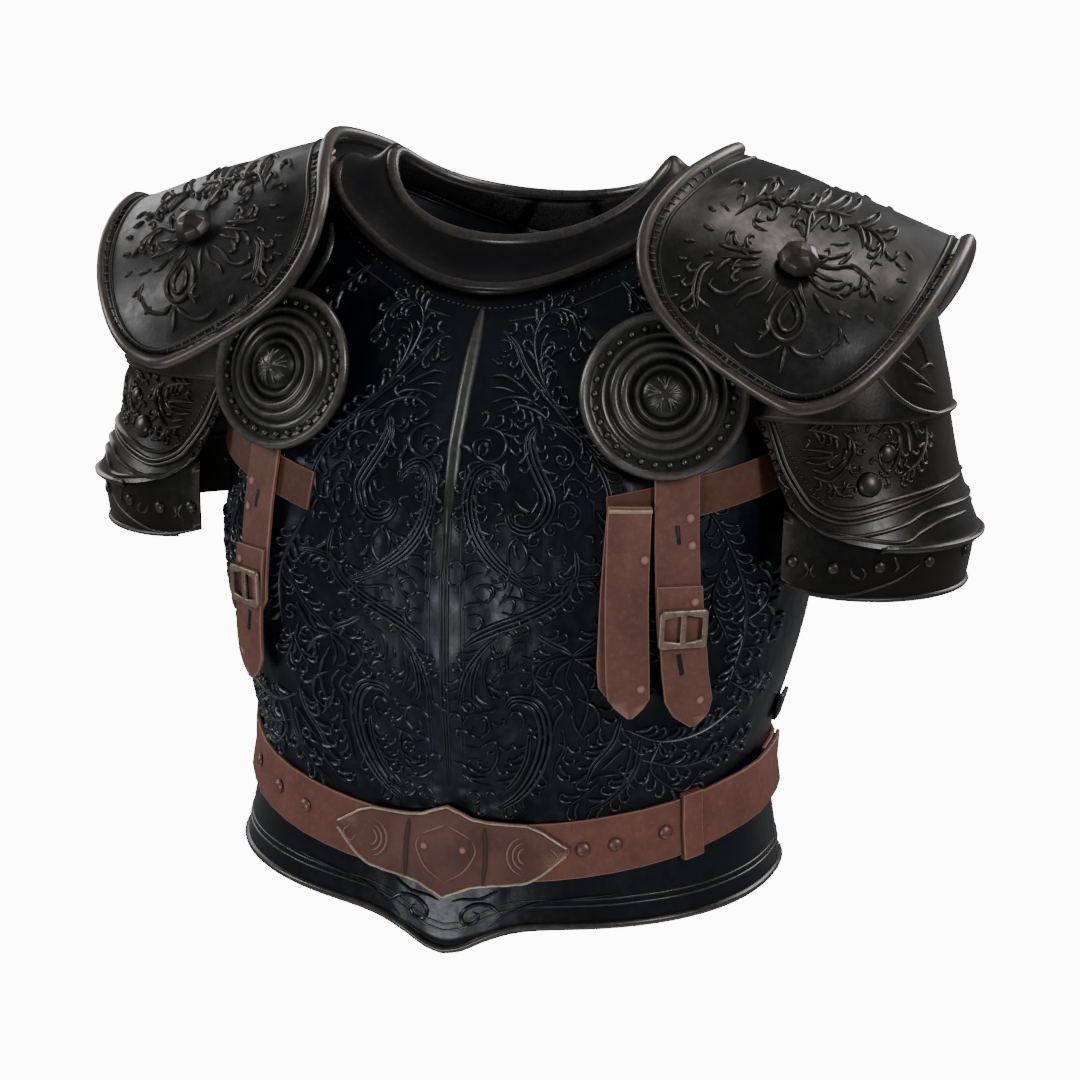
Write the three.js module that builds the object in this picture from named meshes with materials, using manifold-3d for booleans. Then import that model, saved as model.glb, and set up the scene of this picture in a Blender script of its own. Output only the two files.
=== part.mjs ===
// Embossed steel cuirass: breastplate and backplate with a rolled collar, two pauldrons
// with arm plates, armpit roundels, hanging straps and a waist belt.
// Millimetres, +Z up, the front faces -Y and the wearer's left is +X.
// The origin is between the shoulders, at the height where the plates rest on them.
import * as THREE from 'three';
import { mergeVertices } from 'three/addons/utils/BufferGeometryUtils.js';
import Module from 'manifold-3d';

// Torso
const CHEST_WIDTH = 390;
const CHEST_FRONT = 158;
const CHEST_BACK = 112;
const TORSO_DROP = 434;
const HEM_DIP = 6;
const HEM_POINT = 20;
const RIDGE_RISE = 6;
const RIDGE_SPREAD = 11;
const TORSO_ROUNDNESS = 2.3;
const STEEL_WALL = 2;

// Armholes
const SHOULDER_STRIP = 26;
const ARMHOLE_HEIGHT = 184;
const ARMHOLE_DEPTH = 144;

// Collar
const NECK_WIDTH = 184;
const NECK_FRONT = 66;
const NECK_BACK = 60;
const COLLAR_FRONT_Z = -30;
const COLLAR_SIDE_Z = 22;
const COLLAR_BACK_Z = -11;
const COLLAR_SEAT_FRONT_Z = -58;
const COLLAR_SEAT_SIDE_Z = 12;
const COLLAR_SEAT_BACK_Z = -38;
const COLLAR_SAG = 3.5;
const NECK_SOFTNESS = 0.03;
const COLLAR_RIM_RADIUS = 4.5;
const COLLAR_BEAD_RADIUS = 4;

// Pauldron caps
const CAP_LENGTH = 145;
const CAP_RIDGE_Z = 31;
const CAP_FALL = 49;
const CAP_DROP = 112;
const CAP_BACK = 138;
const CAP_CREASE = 12;
const CAP_BEAD_RADIUS = 4;
const CAP_NECK_GAP = 1;
const CAP_ROUNDEL_GAP = 14;
const BOSS_RADIUS = 13;
const BOSS_RISE = 12;

// Arm plates
const ARM_STANDOFF = -8;
const ARM_TOP_Z = -58;
const ARM_HEIGHT = 174;
const ARM_OUTREACH = 99;
const ARM_HALF_DEPTH = 88;
const UPPER_LAME_HEIGHT = 66;
const LOWER_LAME_HEIGHT = 40;
const LAME_OVERLAP = 16;
const ARM_LIP = 9;
const LOWER_LAME_SPREAD = 89;
const ARM_PLATE_TOP_SPREAD = 108;
const ARM_PLATE_BOTTOM_SPREAD = 86;
const UPPER_LAME_SPREAD = 106;
const LOWER_LAME_RISE = 8;
const ARM_PLATE_RISE = 20;

// Roundels
const ROUNDEL_RADIUS = 50;
const ROUNDEL_X = CHEST_WIDTH * 0.308;
const ROUNDEL_Z = -107;
const ROUNDEL_YAW = 15;
const ROUNDEL_PITCH = 14;
const ROUNDEL_DOME = 13;
const ROUNDEL_RIM_RADIUS = 3.5;

// Leather
const LEATHER = 2.8;
const STRAP_WIDTH = 23;
const STRAP_X = CHEST_WIDTH * 0.318;
const STRAP_LEAN = 13;
const STRAP_TOP_Z = -112;
const STRAP_BUCKLE_Z = -242;
const STRAP_TIP_Z = -306;
const ARM_STRAP_INNER_X = CHEST_WIDTH * 0.236;
const ARM_STRAP_OUTER_X = CHEST_WIDTH * 0.472;
const ARM_STRAP_INNER_Z = -178;
const ARM_STRAP_OUTER_Z = -152;
const LOOSE_TAIL_X = CHEST_WIDTH * 0.265;
const LOOSE_TAIL_TOP_Z = -172;
const LOOSE_TAIL_TIP_Z = -298;
const LEATHER_WIDTH_HIDDEN = 26;

// Buckles
const BUCKLE_WIDTH = 31;
const BUCKLE_HEIGHT = 24;
const BUCKLE_BAR = 3.6;
const SHOULDER_BUCKLE_WIDTH = 24;
const SHOULDER_BUCKLE_LENGTH = 14;

// Belt
const BELT_WIDTH = 36;
const BELT_SIDE_Z = -364;
const BELT_DIP = 30;
const BELT_PLATE_WIDTH = 146;
const BELT_PLATE_HEIGHT = 60;
const BELT_PLATE_THICKNESS = 2.5;
const KEEPER_WIDTH = 13;
const KEEPER_PAST_PLATE = 27;
const STUD_RADIUS = 5;
const STUD_RISE = 2.5;
const STUDS_PAST_PLATE = [-32, -20, -10, 3, 10, 21];

// Side clasps
const CLASP_WIDTH = 26;
const CLASP_HEIGHT = 17;
const CLASP_THICKNESS = 3;
const CLASP_Z = -322;

// The gap that touching pieces keep
const CLEARANCE = 0.3;
const LEATHER_GAP = 0.6;
const PLATE_GAP = 0.9;
const HIDDEN_GAP = 1;

// How far a piece is drawn back before it is slid onto its seat
const SLIDE_START = 20;

// Counts of facets
const TORSO_COLUMNS = 28;
const CAP_COLUMNS = 28;
const ARM_COLUMNS = 12;
const ROUNDEL_COLUMNS = 20;
const STRAP_ROWS = 10;

// Sections of the torso, as shares of its drop, half width, front depth and back depth
const TORSO_SECTIONS = [
  { level: -0.046, width: 0.55, front: 0.29, back: 0.44, ridge: 0 },
  { level: 0, width: 0.7, front: 0.37, back: 0.58, ridge: 0 },
  { level: 0.045, width: 0.79, front: 0.43, back: 0.69, ridge: 0 },
  { level: 0.095, width: 0.851, front: 0.506, back: 0.777, ridge: 0.1 },
  { level: 0.16, width: 0.903, front: 0.614, back: 0.866, ridge: 0.6 },
  { level: 0.24, width: 0.944, front: 0.766, back: 0.946, ridge: 1 },
  { level: 0.34, width: 0.974, front: 0.918, back: 0.991, ridge: 1 },
  { level: 0.43, width: 0.995, front: 0.975, back: 1, ridge: 1 },
  { level: 0.52, width: 1, front: 1, back: 1, ridge: 0.9 },
  { level: 0.62, width: 0.972, front: 0.995, back: 0.975, ridge: 0.8 },
  { level: 0.72, width: 0.91, front: 0.955, back: 0.925, ridge: 0.7 },
  { level: 0.79, width: 0.868, front: 0.92, back: 0.89, ridge: 0.5 },
  { level: 0.84, width: 0.864, front: 0.905, back: 0.88, ridge: 0.1 },
  { level: 0.89, width: 0.882, front: 0.91, back: 0.888, ridge: 0 },
  { level: 1.085, width: 0.962, front: 0.98, back: 0.975, ridge: 0.3 },
];

// Sections of a cap along its ridge, as shares of its depth and drop
const CAP_SECTIONS = [
  { level: -0.25, depth: 0.95, drop: 0.92 },
  { level: 0, depth: 0.97, drop: 0.94 },
  { level: 0.2, depth: 0.99, drop: 0.95 },
  { level: 0.45, depth: 1, drop: 1 },
  { level: 0.7, depth: 0.9, drop: 0.94 },
  { level: 1, depth: 0.66, drop: 0.76 },
];

// Half outline of a cap: share of its length, and share of a quarter turn down from the ridge
const CAP_OUTLINE = [
  { along: 1, turn: 0 },
  { along: 0.98, turn: 0.3 },
  { along: 0.9, turn: 0.6 },
  { along: 0.75, turn: 0.85 },
  { along: 0.55, turn: 1 },
  { along: 0.33, turn: 1.04 },
  { along: 0.1, turn: 1.01 },
  { along: -0.1, turn: 0.92 },
  { along: -0.2, turn: 0.76 },
  { along: -0.19, turn: 0.56 },
  { along: -0.1, turn: 0.32 },
  { along: 0, turn: 0 },
];

// Sections of the arm plates from top to bottom, as shares of their reach and depth
const ARM_SECTIONS = [
  { level: 0, reach: 0.68, depth: 0.84 },
  { level: 0.3, reach: 0.82, depth: 0.93 },
  { level: 0.6, reach: 0.93, depth: 0.98 },
  { level: 0.82, reach: 1, depth: 1 },
  { level: 1, reach: 1.02, depth: 1.01 },
];

// Rings of a roundel: share of the radius, and share of the dome's rise
const ROUNDEL_RINGS = [
  { radius: 0.18, rise: 0.9 },
  { radius: 0.34, rise: 0.62 },
  { radius: 0.44, rise: 0.34 },
  { radius: 0.56, rise: 0.5 },
  { radius: 0.7, rise: 0.3 },
  { radius: 0.84, rise: 0.08 },
  { radius: 0.93, rise: 0.1 },
];

const materials = {
  steel: { color: 0x14171c, roughness: 0.35, metalness: 0.9 },
  leather: { color: 0x593a33, roughness: 0.7, metalness: 0 },
  brass: { color: 0x8f7c66, roughness: 0.45, metalness: 0.8 },
};

const group = new THREE.Group();
const columnTurn = Math.PI / TORSO_COLUMNS;

// Small maths

function radians(degrees) {
  return (degrees * Math.PI) / 180;
}

function mix(a, b, share) {
  return a + (b - a) * share;
}

function clamp01(value) {
  return Math.min(1, Math.max(0, value));
}

function smooth(value) {
  const share = clamp01(value);
  return share * share * (3 - 2 * share);
}

function readTable(rows, level, column) {
  const last = rows.length - 1;
  let index = 0;
  while (index < last - 1 && level > rows[index + 1].level) index += 1;
  const lower = rows[index];
  const upper = rows[index + 1];
  return mix(lower[column], upper[column], (level - lower.level) / (upper.level - lower.level));
}

function surfaceNormal(surface, a, b, stepA, stepB) {
  const alongA = surface(a + stepA, b).sub(surface(a - stepA, b));
  const alongB = surface(a, b + stepB).sub(surface(a, b - stepB));
  return alongA.cross(alongB).normalize();
}

// Solids made by sweeping a loop of points. An open sweep is capped by pairing the first point
// of its loop with the last, the second with the last but one, and so on.

function facesOutward(positions, indices) {
  const geometry = new THREE.BufferGeometry();
  geometry.setAttribute('position', new THREE.Float32BufferAttribute(positions, 3));
  let volume = 0;
  const corner = (index) => new THREE.Vector3().fromArray(positions, index * 3);
  for (let face = 0; face < indices.length; face += 3) {
    const first = corner(indices[face]);
    const second = corner(indices[face + 1]);
    volume += first.dot(second.cross(corner(indices[face + 2])));
  }
  geometry.setIndex(volume < 0 ? indices.slice().reverse() : indices);
  return geometry;
}

function sweepLoop(stations, loop, place, closed) {
  const positions = [];
  const indices = [];
  for (const station of stations) {
    for (const entry of loop) positions.push(...place(station, entry).toArray());
  }
  const size = loop.length;
  const spans = closed ? stations.length : stations.length - 1;
  for (let row = 0; row < spans; row += 1) {
    const next = (row + 1) % stations.length;
    for (let column = 0; column < size; column += 1) {
      const beside = (column + 1) % size;
      const a = row * size + column;
      const b = row * size + beside;
      const c = next * size + beside;
      const d = next * size + column;
      indices.push(a, b, c, a, c, d);
    }
  }
  if (!closed) {
    const end = (stations.length - 1) * size;
    for (let near = 0; near < size / 2 - 1; near += 1) {
      const far = size - 1 - near;
      indices.push(near, far, far - 1, near, far - 1, near + 1);
      indices.push(end + near, end + far - 1, end + far, end + near, end + near + 1, end + far - 1);
    }
  }
  return facesOutward(positions, indices);
}

function sweepDome(columns, rings, place, topPoint, bottomPoint) {
  const positions = [...topPoint.toArray()];
  for (let column = 0; column < columns; column += 1) {
    for (const ring of rings) positions.push(...place(column / columns, ring).toArray());
  }
  positions.push(...bottomPoint.toArray());
  const indices = [];
  const size = rings.length;
  const bottom = 1 + columns * size;
  for (let column = 0; column < columns; column += 1) {
    const start = 1 + column * size;
    const next = 1 + ((column + 1) % columns) * size;
    indices.push(0, start, next);
    for (let ring = 0; ring < size - 1; ring += 1) {
      indices.push(start + ring, start + ring + 1, next + ring + 1);
      indices.push(start + ring, next + ring + 1, next + ring);
    }
    indices.push(bottom, next + size - 1, start + size - 1);
  }
  return facesOutward(positions, indices);
}

function add(name, geometry, material) {
  const mesh = new THREE.Mesh(geometry, new THREE.MeshStandardMaterial(materials[material]));
  mesh.name = name;
  group.add(mesh);
}

function mirrored(geometry) {
  const copy = mergeVertices(geometry.clone());
  copy.scale(-1, 1, 1);
  copy.setIndex(Array.from(copy.index.array).reverse());
  return copy;
}

function addPair(name, geometry, material) {
  add(`${name}_left`, geometry, material);
  add(`${name}_right`, mirrored(geometry), material);
}

// Torso surface: angle 0 is the front, a quarter turn is the wearer's left

function torsoSize(z, column) {
  return readTable(TORSO_SECTIONS, -z / TORSO_DROP, column);
}

function torsoPoint(angle, z) {
  const halfWidth = (CHEST_WIDTH / 2) * torsoSize(z, 'width');
  const isFront = Math.cos(angle) > 0;
  const depth = isFront ? CHEST_FRONT * torsoSize(z, 'front') : CHEST_BACK * torsoSize(z, 'back');
  const across = Math.abs(Math.sin(angle) / halfWidth) ** TORSO_ROUNDNESS;
  const along = Math.abs(Math.cos(angle) / depth) ** TORSO_ROUNDNESS;
  let reach = (across + along) ** (-1 / TORSO_ROUNDNESS);
  if (isFront) {
    const aside = (reach * Math.sin(angle)) / RIDGE_SPREAD;
    reach += RIDGE_RISE * torsoSize(z, 'ridge') * Math.exp(-aside * aside);
  }
  return new THREE.Vector3(reach * Math.sin(angle), -reach * Math.cos(angle), z);
}

function torsoNormal(angle, z) {
  return surfaceNormal(torsoPoint, angle, z, 0.01, 1);
}

function torsoOver(angle, z, height) {
  return torsoPoint(angle, z).addScaledVector(torsoNormal(angle, z), height);
}

// The angle at which the front or side of the torso is at a distance x from the middle
function torsoAngle(x, z) {
  let low = 0;
  let high = Math.PI / 2;
  for (let step = 0; step < 40; step += 1) {
    const middle = (low + high) / 2;
    if (torsoPoint(middle, z).x < x) low = middle;
    else high = middle;
  }
  return (low + high) / 2;
}

function aroundNeck(angle, front, side, back) {
  const ahead = Math.cos(angle);
  const share = ((ahead * ahead + NECK_SOFTNESS) ** 0.45 - NECK_SOFTNESS ** 0.45)
    / ((1 + NECK_SOFTNESS) ** 0.45 - NECK_SOFTNESS ** 0.45);
  return mix(side, ahead > 0 ? front : back, share);
}

function seatZ(angle) {
  return aroundNeck(angle, COLLAR_SEAT_FRONT_Z, COLLAR_SEAT_SIDE_Z, COLLAR_SEAT_BACK_Z);
}

function hemZ(angle) {
  const ahead = Math.max(0, Math.cos(angle));
  const point = HEM_POINT * Math.exp(-((angle / 0.2) ** 2));
  return -TORSO_DROP - HEM_DIP * ahead * ahead - point;
}

// Rows of a torso plate: the first four follow the neck, the last follows the hem
const neckRows = 4;
const firstLevel = 0.16;
const fixedLevels = TORSO_SECTIONS.map((row) => row.level).filter((level) => level >= firstLevel && level < 1);

function rowZ(row, angle) {
  if (row < neckRows) return mix(seatZ(angle), -firstLevel * TORSO_DROP, row / neckRows);
  if (row < neckRows + fixedLevels.length) return -fixedLevels[row - neckRows] * TORSO_DROP;
  return hemZ(angle);
}

const wasm = await Module();
wasm.setup();

function toManifold(geometry) {
  const bare = geometry.clone();
  bare.deleteAttribute('normal');
  bare.deleteAttribute('uv');
  const merged = mergeVertices(bare, 1e-4);
  return new wasm.Manifold(new wasm.Mesh({
    numProp: 3,
    vertProperties: new Float32Array(merged.attributes.position.array),
    triVerts: new Uint32Array(merged.index.array),
  }));
}

function fromManifold(solid) {
  const mesh = solid.getMesh();
  const geometry = new THREE.BufferGeometry();
  geometry.setAttribute('position', new THREE.BufferAttribute(new Float32Array(mesh.vertProperties), 3));
  geometry.setIndex(Array.from(mesh.triVerts));
  return geometry;
}

function armholeCutter(side) {
  const innerX = torsoPoint(Math.PI / 2, COLLAR_SEAT_SIDE_Z).x + SHOULDER_STRIP;
  const outerX = CHEST_WIDTH;
  const hole = new THREE.CylinderGeometry(1, 1, outerX - innerX, 20);
  hole.rotateZ(Math.PI / 2);
  hole.scale(1, ARMHOLE_DEPTH / 2, ARMHOLE_HEIGHT / 2);
  hole.translate((innerX + outerX) / 2, 0, -ARMHOLE_HEIGHT / 2);
  return side > 0 ? toManifold(hole) : toManifold(mirrored(hole));
}

function torsoPlate(middle) {
  const rows = neckRows + fixedLevels.length + 1;
  const loop = [];
  for (let row = 0; row < rows; row += 1) loop.push({ row, share: row, height: 0 });
  for (let row = rows - 1; row >= 0; row -= 1) loop.push({ row, share: row, height: -STEEL_WALL });
  const halfTurn = Math.PI / 2 - CLEARANCE / CHEST_WIDTH;
  const stations = [];
  for (let column = 0; column <= TORSO_COLUMNS; column += 1) {
    stations.push(middle + mix(-halfTurn, halfTurn, column / TORSO_COLUMNS));
  }
  const place = (angle, entry) => torsoOver(angle, rowZ(entry.row, angle), entry.height);
  const whole = toManifold(sweepLoop(stations, loop, place, false));
  const cut = whole.subtract(armholeCutter(1)).subtract(armholeCutter(-1));
  const pieces = cut.decompose().sort((a, b) => b.volume() - a.volume());
  return fromManifold(pieces[0]);
}

function buildTorso() {
  add('breastplate', torsoPlate(0), 'steel');
  add('backplate', torsoPlate(Math.PI), 'steel');
}

// Collar: a closed ring whose section is a bead, a hollow band and a rolled rim

function collarFrame(angle) {
  const z = seatZ(angle);
  const bead = torsoOver(angle, z, CLEARANCE + COLLAR_BEAD_RADIUS);
  const depth = Math.cos(angle) > 0 ? NECK_FRONT : NECK_BACK;
  const rimZ = aroundNeck(angle, COLLAR_FRONT_Z, COLLAR_SIDE_Z, COLLAR_BACK_Z);
  const rim = new THREE.Vector3((NECK_WIDTH / 2) * Math.sin(angle), -depth * Math.cos(angle), rimZ);
  const up = rim.clone().sub(bead);
  const width = up.length();
  up.normalize();
  const radial = new THREE.Vector3(Math.sin(angle), -Math.cos(angle), 0);
  const out = radial.clone().addScaledVector(up, -radial.dot(up)).normalize();
  return { bead, up, out, width };
}

function collarLoop() {
  const loop = [];
  const bandShares = [0.3, 0.7];
  for (const turn of [210, 275, 340, 405]) {
    loop.push({ part: 'bead', turn: radians(turn) });
  }
  for (const share of bandShares) loop.push({ part: 'band', share, side: 1 });
  for (const turn of [-40, 30, 100, 175]) loop.push({ part: 'rim', turn: radians(turn) });
  for (const share of bandShares.slice().reverse()) loop.push({ part: 'band', share, side: -1 });
  return loop;
}

function buildCollar() {
  const place = (angle, entry) => {
    const { bead, up, out, width } = collarFrame(angle);
    let along = entry.share * width;
    let aside = 0;
    if (entry.part === 'bead') {
      along = COLLAR_BEAD_RADIUS * Math.sin(entry.turn);
      aside = COLLAR_BEAD_RADIUS * Math.cos(entry.turn);
    } else if (entry.part === 'rim') {
      along = width + COLLAR_RIM_RADIUS * Math.sin(entry.turn);
      aside = COLLAR_RIM_RADIUS * Math.cos(entry.turn);
    } else {
      const sag = COLLAR_SAG * 4 * entry.share * (1 - entry.share);
      aside = (entry.side * STEEL_WALL) / 2 - sag;
    }
    return bead.addScaledVector(up, along).addScaledVector(out, aside);
  };
  const stations = [];
  for (let column = 0; column < 2 * TORSO_COLUMNS; column += 1) {
    stations.push(column * columnTurn);
  }
  add('collar', sweepLoop(stations, collarLoop(), place, true), 'steel');
}

// Roundels: discs that lie against the chest in front of the armpits

function torsoFrontY(x, z) {
  const halfWidth = (CHEST_WIDTH / 2) * torsoSize(z, 'width');
  const share = Math.abs(x / halfWidth);
  if (share >= 1) return Infinity;
  const depth = CHEST_FRONT * torsoSize(z, 'front');
  return -depth * (1 - share ** TORSO_ROUNDNESS) ** (1 / TORSO_ROUNDNESS);
}

const roundelNormal = new THREE.Vector3(
  Math.sin(radians(ROUNDEL_YAW)) * Math.cos(radians(ROUNDEL_PITCH)),
  -Math.cos(radians(ROUNDEL_YAW)) * Math.cos(radians(ROUNDEL_PITCH)),
  Math.sin(radians(ROUNDEL_PITCH)),
);
const roundelAcross = new THREE.Vector3(Math.cos(radians(ROUNDEL_YAW)), Math.sin(radians(ROUNDEL_YAW)), 0);
const roundelUp = roundelNormal.clone().cross(roundelAcross).negate();

function roundelOffset(turn, radius, height) {
  return new THREE.Vector3()
    .addScaledVector(roundelAcross, radius * Math.cos(turn))
    .addScaledVector(roundelUp, radius * Math.sin(turn))
    .addScaledVector(roundelNormal, height);
}

function roundelCentreY() {
  let nearest = Infinity;
  for (let step = 0; step < 72; step += 1) {
    for (const share of [0.6, 0.8, 1]) {
      const reach = share * (ROUNDEL_RADIUS + ROUNDEL_RIM_RADIUS);
      const offset = roundelOffset((step * Math.PI) / 36, reach, -ROUNDEL_RIM_RADIUS);
      nearest = Math.min(nearest, torsoFrontY(ROUNDEL_X + offset.x, ROUNDEL_Z + offset.z) - offset.y);
    }
  }
  return nearest - CLEARANCE;
}

const roundelCentre = new THREE.Vector3(ROUNDEL_X, roundelCentreY(), ROUNDEL_Z);

function roundelPoint(turn, radius, height) {
  return roundelOffset(turn, radius, height).add(roundelCentre);
}

// Moves a piece along a direction until its nearest corner is a gap away from the targets
function slideOnto(geometry, targetNames, direction, gap) {
  const targets = targetNames.map((name) => group.getObjectByName(name));
  const corners = geometry.attributes.position;
  const ray = new THREE.Raycaster();
  let nearest = Infinity;
  for (let index = 0; index < corners.count; index += 1) {
    const corner = new THREE.Vector3().fromBufferAttribute(corners, index);
    ray.set(corner.addScaledVector(direction, -SLIDE_START), direction);
    const hits = ray.intersectObjects(targets);
    if (hits.length) nearest = Math.min(nearest, hits[0].distance - SLIDE_START);
  }
  const travel = direction.clone().multiplyScalar(nearest - gap);
  return geometry.translate(travel.x, travel.y, travel.z);
}

function buildRoundels() {
  const rings = ROUNDEL_RINGS.map((ring) => ({ radius: ring.radius * ROUNDEL_RADIUS, height: ring.rise * ROUNDEL_DOME }));
  for (const turn of [90, 0, -90]) {
    rings.push({
      radius: ROUNDEL_RADIUS + ROUNDEL_RIM_RADIUS * (Math.cos(radians(turn)) - 1) * 0.5,
      height: ROUNDEL_RIM_RADIUS * Math.sin(radians(turn)),
    });
  }
  for (const ring of [ROUNDEL_RINGS[5], ROUNDEL_RINGS[3], ROUNDEL_RINGS[2]]) {
    rings.push({ radius: ring.radius * ROUNDEL_RADIUS, height: ring.rise * ROUNDEL_DOME - STEEL_WALL });
  }
  const place = (turn, ring) => roundelPoint(2 * Math.PI * turn, ring.radius, ring.height);
  const top = roundelPoint(0, 0, ROUNDEL_DOME);
  const bottom = roundelPoint(0, 0, ROUNDEL_DOME - STEEL_WALL);
  const disc = sweepDome(ROUNDEL_COLUMNS, rings, place, top, bottom);
  const targets = ['breastplate', 'roundel_strap_left'];
  addPair('roundel', slideOnto(disc, targets, new THREE.Vector3(0, 1, 0), HIDDEN_GAP), 'steel');
}

// Pauldron caps: a vault over the shoulder, with round lobes in front and behind

const neckSideX = torsoPoint(Math.PI / 2, COLLAR_SEAT_SIDE_Z).x + 2 * COLLAR_BEAD_RADIUS;
const capInnerX = neckSideX + CAP_NECK_GAP + CAP_BEAD_RADIUS;
const capFrontY = roundelPoint(0, 0, 0).y - CAP_ROUNDEL_GAP;
const capHalfDepth = (CAP_BACK - capFrontY) / 2;
const capCentreY = (CAP_BACK + capFrontY) / 2;

function capPoint(along, turn) {
  const depth = capHalfDepth * readTable(CAP_SECTIONS, along, 'depth');
  const drop = CAP_DROP * readTable(CAP_SECTIONS, along, 'drop');
  const ridge = CAP_RIDGE_Z - CAP_FALL * along;
  const side = Math.sin(turn);
  const crease = CAP_CREASE * Math.abs(side);
  return new THREE.Vector3(
    capInnerX + CAP_LENGTH * along,
    capCentreY - depth * side,
    ridge - crease - (drop - CAP_CREASE) * (1 - Math.cos(turn)),
  );
}

function capNormal(along, turn) {
  return surfaceNormal(capPoint, along, turn, 0.01, 0.01).negate();
}

function capOver(along, turn, height) {
  return capPoint(along, turn).addScaledVector(capNormal(along, turn), height);
}

const capCurve = new THREE.CatmullRomCurve3([
  ...CAP_OUTLINE.map((row) => new THREE.Vector3(row.along, row.turn, 0)),
  ...CAP_OUTLINE.slice(1, -1).reverse().map((row) => new THREE.Vector3(row.along, -row.turn, 0)),
], true, 'centripetal');
const capMiddle = 0.42;

function capSpot(share, radius) {
  const edge = capCurve.getPoint(share);
  return { along: mix(capMiddle, edge.x, radius), turn: (edge.y * radius * Math.PI) / 2 };
}

function capRings() {
  const rings = [];
  for (const radius of [0.25, 0.5, 0.75, 0.95]) rings.push({ radius, height: 0, roll: 0 });
  for (const turn of [110, 40, -30, -100]) {
    rings.push({
      radius: 1,
      height: CAP_BEAD_RADIUS * Math.sin(radians(turn)) - STEEL_WALL / 2,
      roll: CAP_BEAD_RADIUS * (Math.cos(radians(turn)) - 1),
    });
  }
  for (const radius of [0.95, 0.75, 0.5, 0.25]) rings.push({ radius, height: -STEEL_WALL, roll: 0 });
  return rings;
}

function placeOnCap(share, ring) {
  const spot = capSpot(share, ring.radius);
  const inner = capSpot(share, ring.radius - 0.02);
  const outward = capPoint(spot.along, spot.turn).sub(capPoint(inner.along, inner.turn)).normalize();
  return capOver(spot.along, spot.turn, ring.height).addScaledVector(outward, ring.roll);
}

function buildCaps() {
  const top = capOver(capMiddle, 0, 0);
  const bottom = capOver(capMiddle, 0, -STEEL_WALL);
  addPair('pauldron_cap', sweepDome(CAP_COLUMNS, capRings(), placeOnCap, top, bottom), 'steel');
}

const bossSpot = { along: 0.4, turn: radians(46) };

function buildBosses() {
  const seat = capOver(bossSpot.along, bossSpot.turn, 0);
  const normal = capNormal(bossSpot.along, bossSpot.turn);
  const across = new THREE.Vector3(1, 0, 0).addScaledVector(normal, -normal.x).normalize();
  const up = normal.clone().cross(across);
  const at = (turn, radius, height) => seat.clone()
    .addScaledVector(across, radius * Math.cos(turn))
    .addScaledVector(up, radius * Math.sin(turn))
    .addScaledVector(normal, height);
  const rings = [];
  for (const lift of [60, 30, 8]) {
    rings.push({ radius: BOSS_RADIUS * Math.cos(radians(lift)), height: BOSS_RISE * Math.sin(radians(lift)) });
  }
  rings.push({ radius: BOSS_RADIUS, height: 0 });
  const place = (turn, ring) => at(2 * Math.PI * turn, ring.radius, ring.height);
  const boss = sweepDome(8, rings, place, at(0, 0, BOSS_RISE), at(0, 0, 0));
  addPair('cap_boss', slideOnto(boss, ['pauldron_cap_left'], normal.clone().negate(), CLEARANCE), 'steel');
}

// Arm plates: parts of one flared tube round the upper arm, nested like shingles

const armX = CHEST_WIDTH / 2 + ARM_STANDOFF;
const shingle = STEEL_WALL + PLATE_GAP;

function armPoint(turn, z) {
  const level = (ARM_TOP_Z - z) / ARM_HEIGHT;
  const reach = ARM_OUTREACH * readTable(ARM_SECTIONS, level, 'reach');
  const depth = ARM_HALF_DEPTH * readTable(ARM_SECTIONS, level, 'depth');
  return new THREE.Vector3(armX + reach * Math.cos(turn), depth * Math.sin(turn), z);
}

function armOver(turn, z, height) {
  const normal = surfaceNormal(armPoint, turn, z, 0.01, 1);
  return armPoint(turn, z).addScaledVector(normal, height);
}

// A lame from topZ to bottomZ; spread gives its half turn in degrees at a share of its height,
// lift its distance from the tube at a height, and rise how much its bottom corners turn up
function armBand({ topZ, bottomZ, spread, lift, rise }) {
  const shares = [0, 0.3, 0.6, 0.8, 1];
  const loop = shares.map((share) => ({ share, height: 0 }));
  loop.push(...shares.slice().reverse().map((share) => ({ share, height: -STEEL_WALL })));
  const stations = [];
  for (let column = 0; column <= ARM_COLUMNS; column += 1) stations.push((2 * column) / ARM_COLUMNS - 1);
  const place = (station, entry) => {
    const z = mix(topZ, bottomZ + rise * Math.abs(station) ** 5, entry.share);
    return armOver(station * radians(spread(entry.share)), z, lift(z) + entry.height);
  };
  return sweepLoop(stations, loop, place, false);
}

const lowerLameBottom = ARM_TOP_Z - ARM_HEIGHT;
const lowerLameTop = lowerLameBottom + LOWER_LAME_HEIGHT;
const armPlateBottom = lowerLameTop - LAME_OVERLAP / 2;
const upperLameBottom = ARM_TOP_Z - UPPER_LAME_HEIGHT;
const armPlateTop = upperLameBottom + LAME_OVERLAP * 1.5;

function armPlateLift(z) {
  const lipTop = mix(armPlateTop, armPlateBottom, 0.6);
  return shingle + ARM_LIP * smooth((lipTop - z) / (lipTop - armPlateBottom));
}

function lowerLameLift(z) {
  const nested = armPlateLift(Math.max(z, armPlateBottom)) - shingle - CLEARANCE;
  const below = clamp01((armPlateBottom - z) / (armPlateBottom - lowerLameBottom));
  return nested * mix(1, 0.2, below);
}

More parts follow.
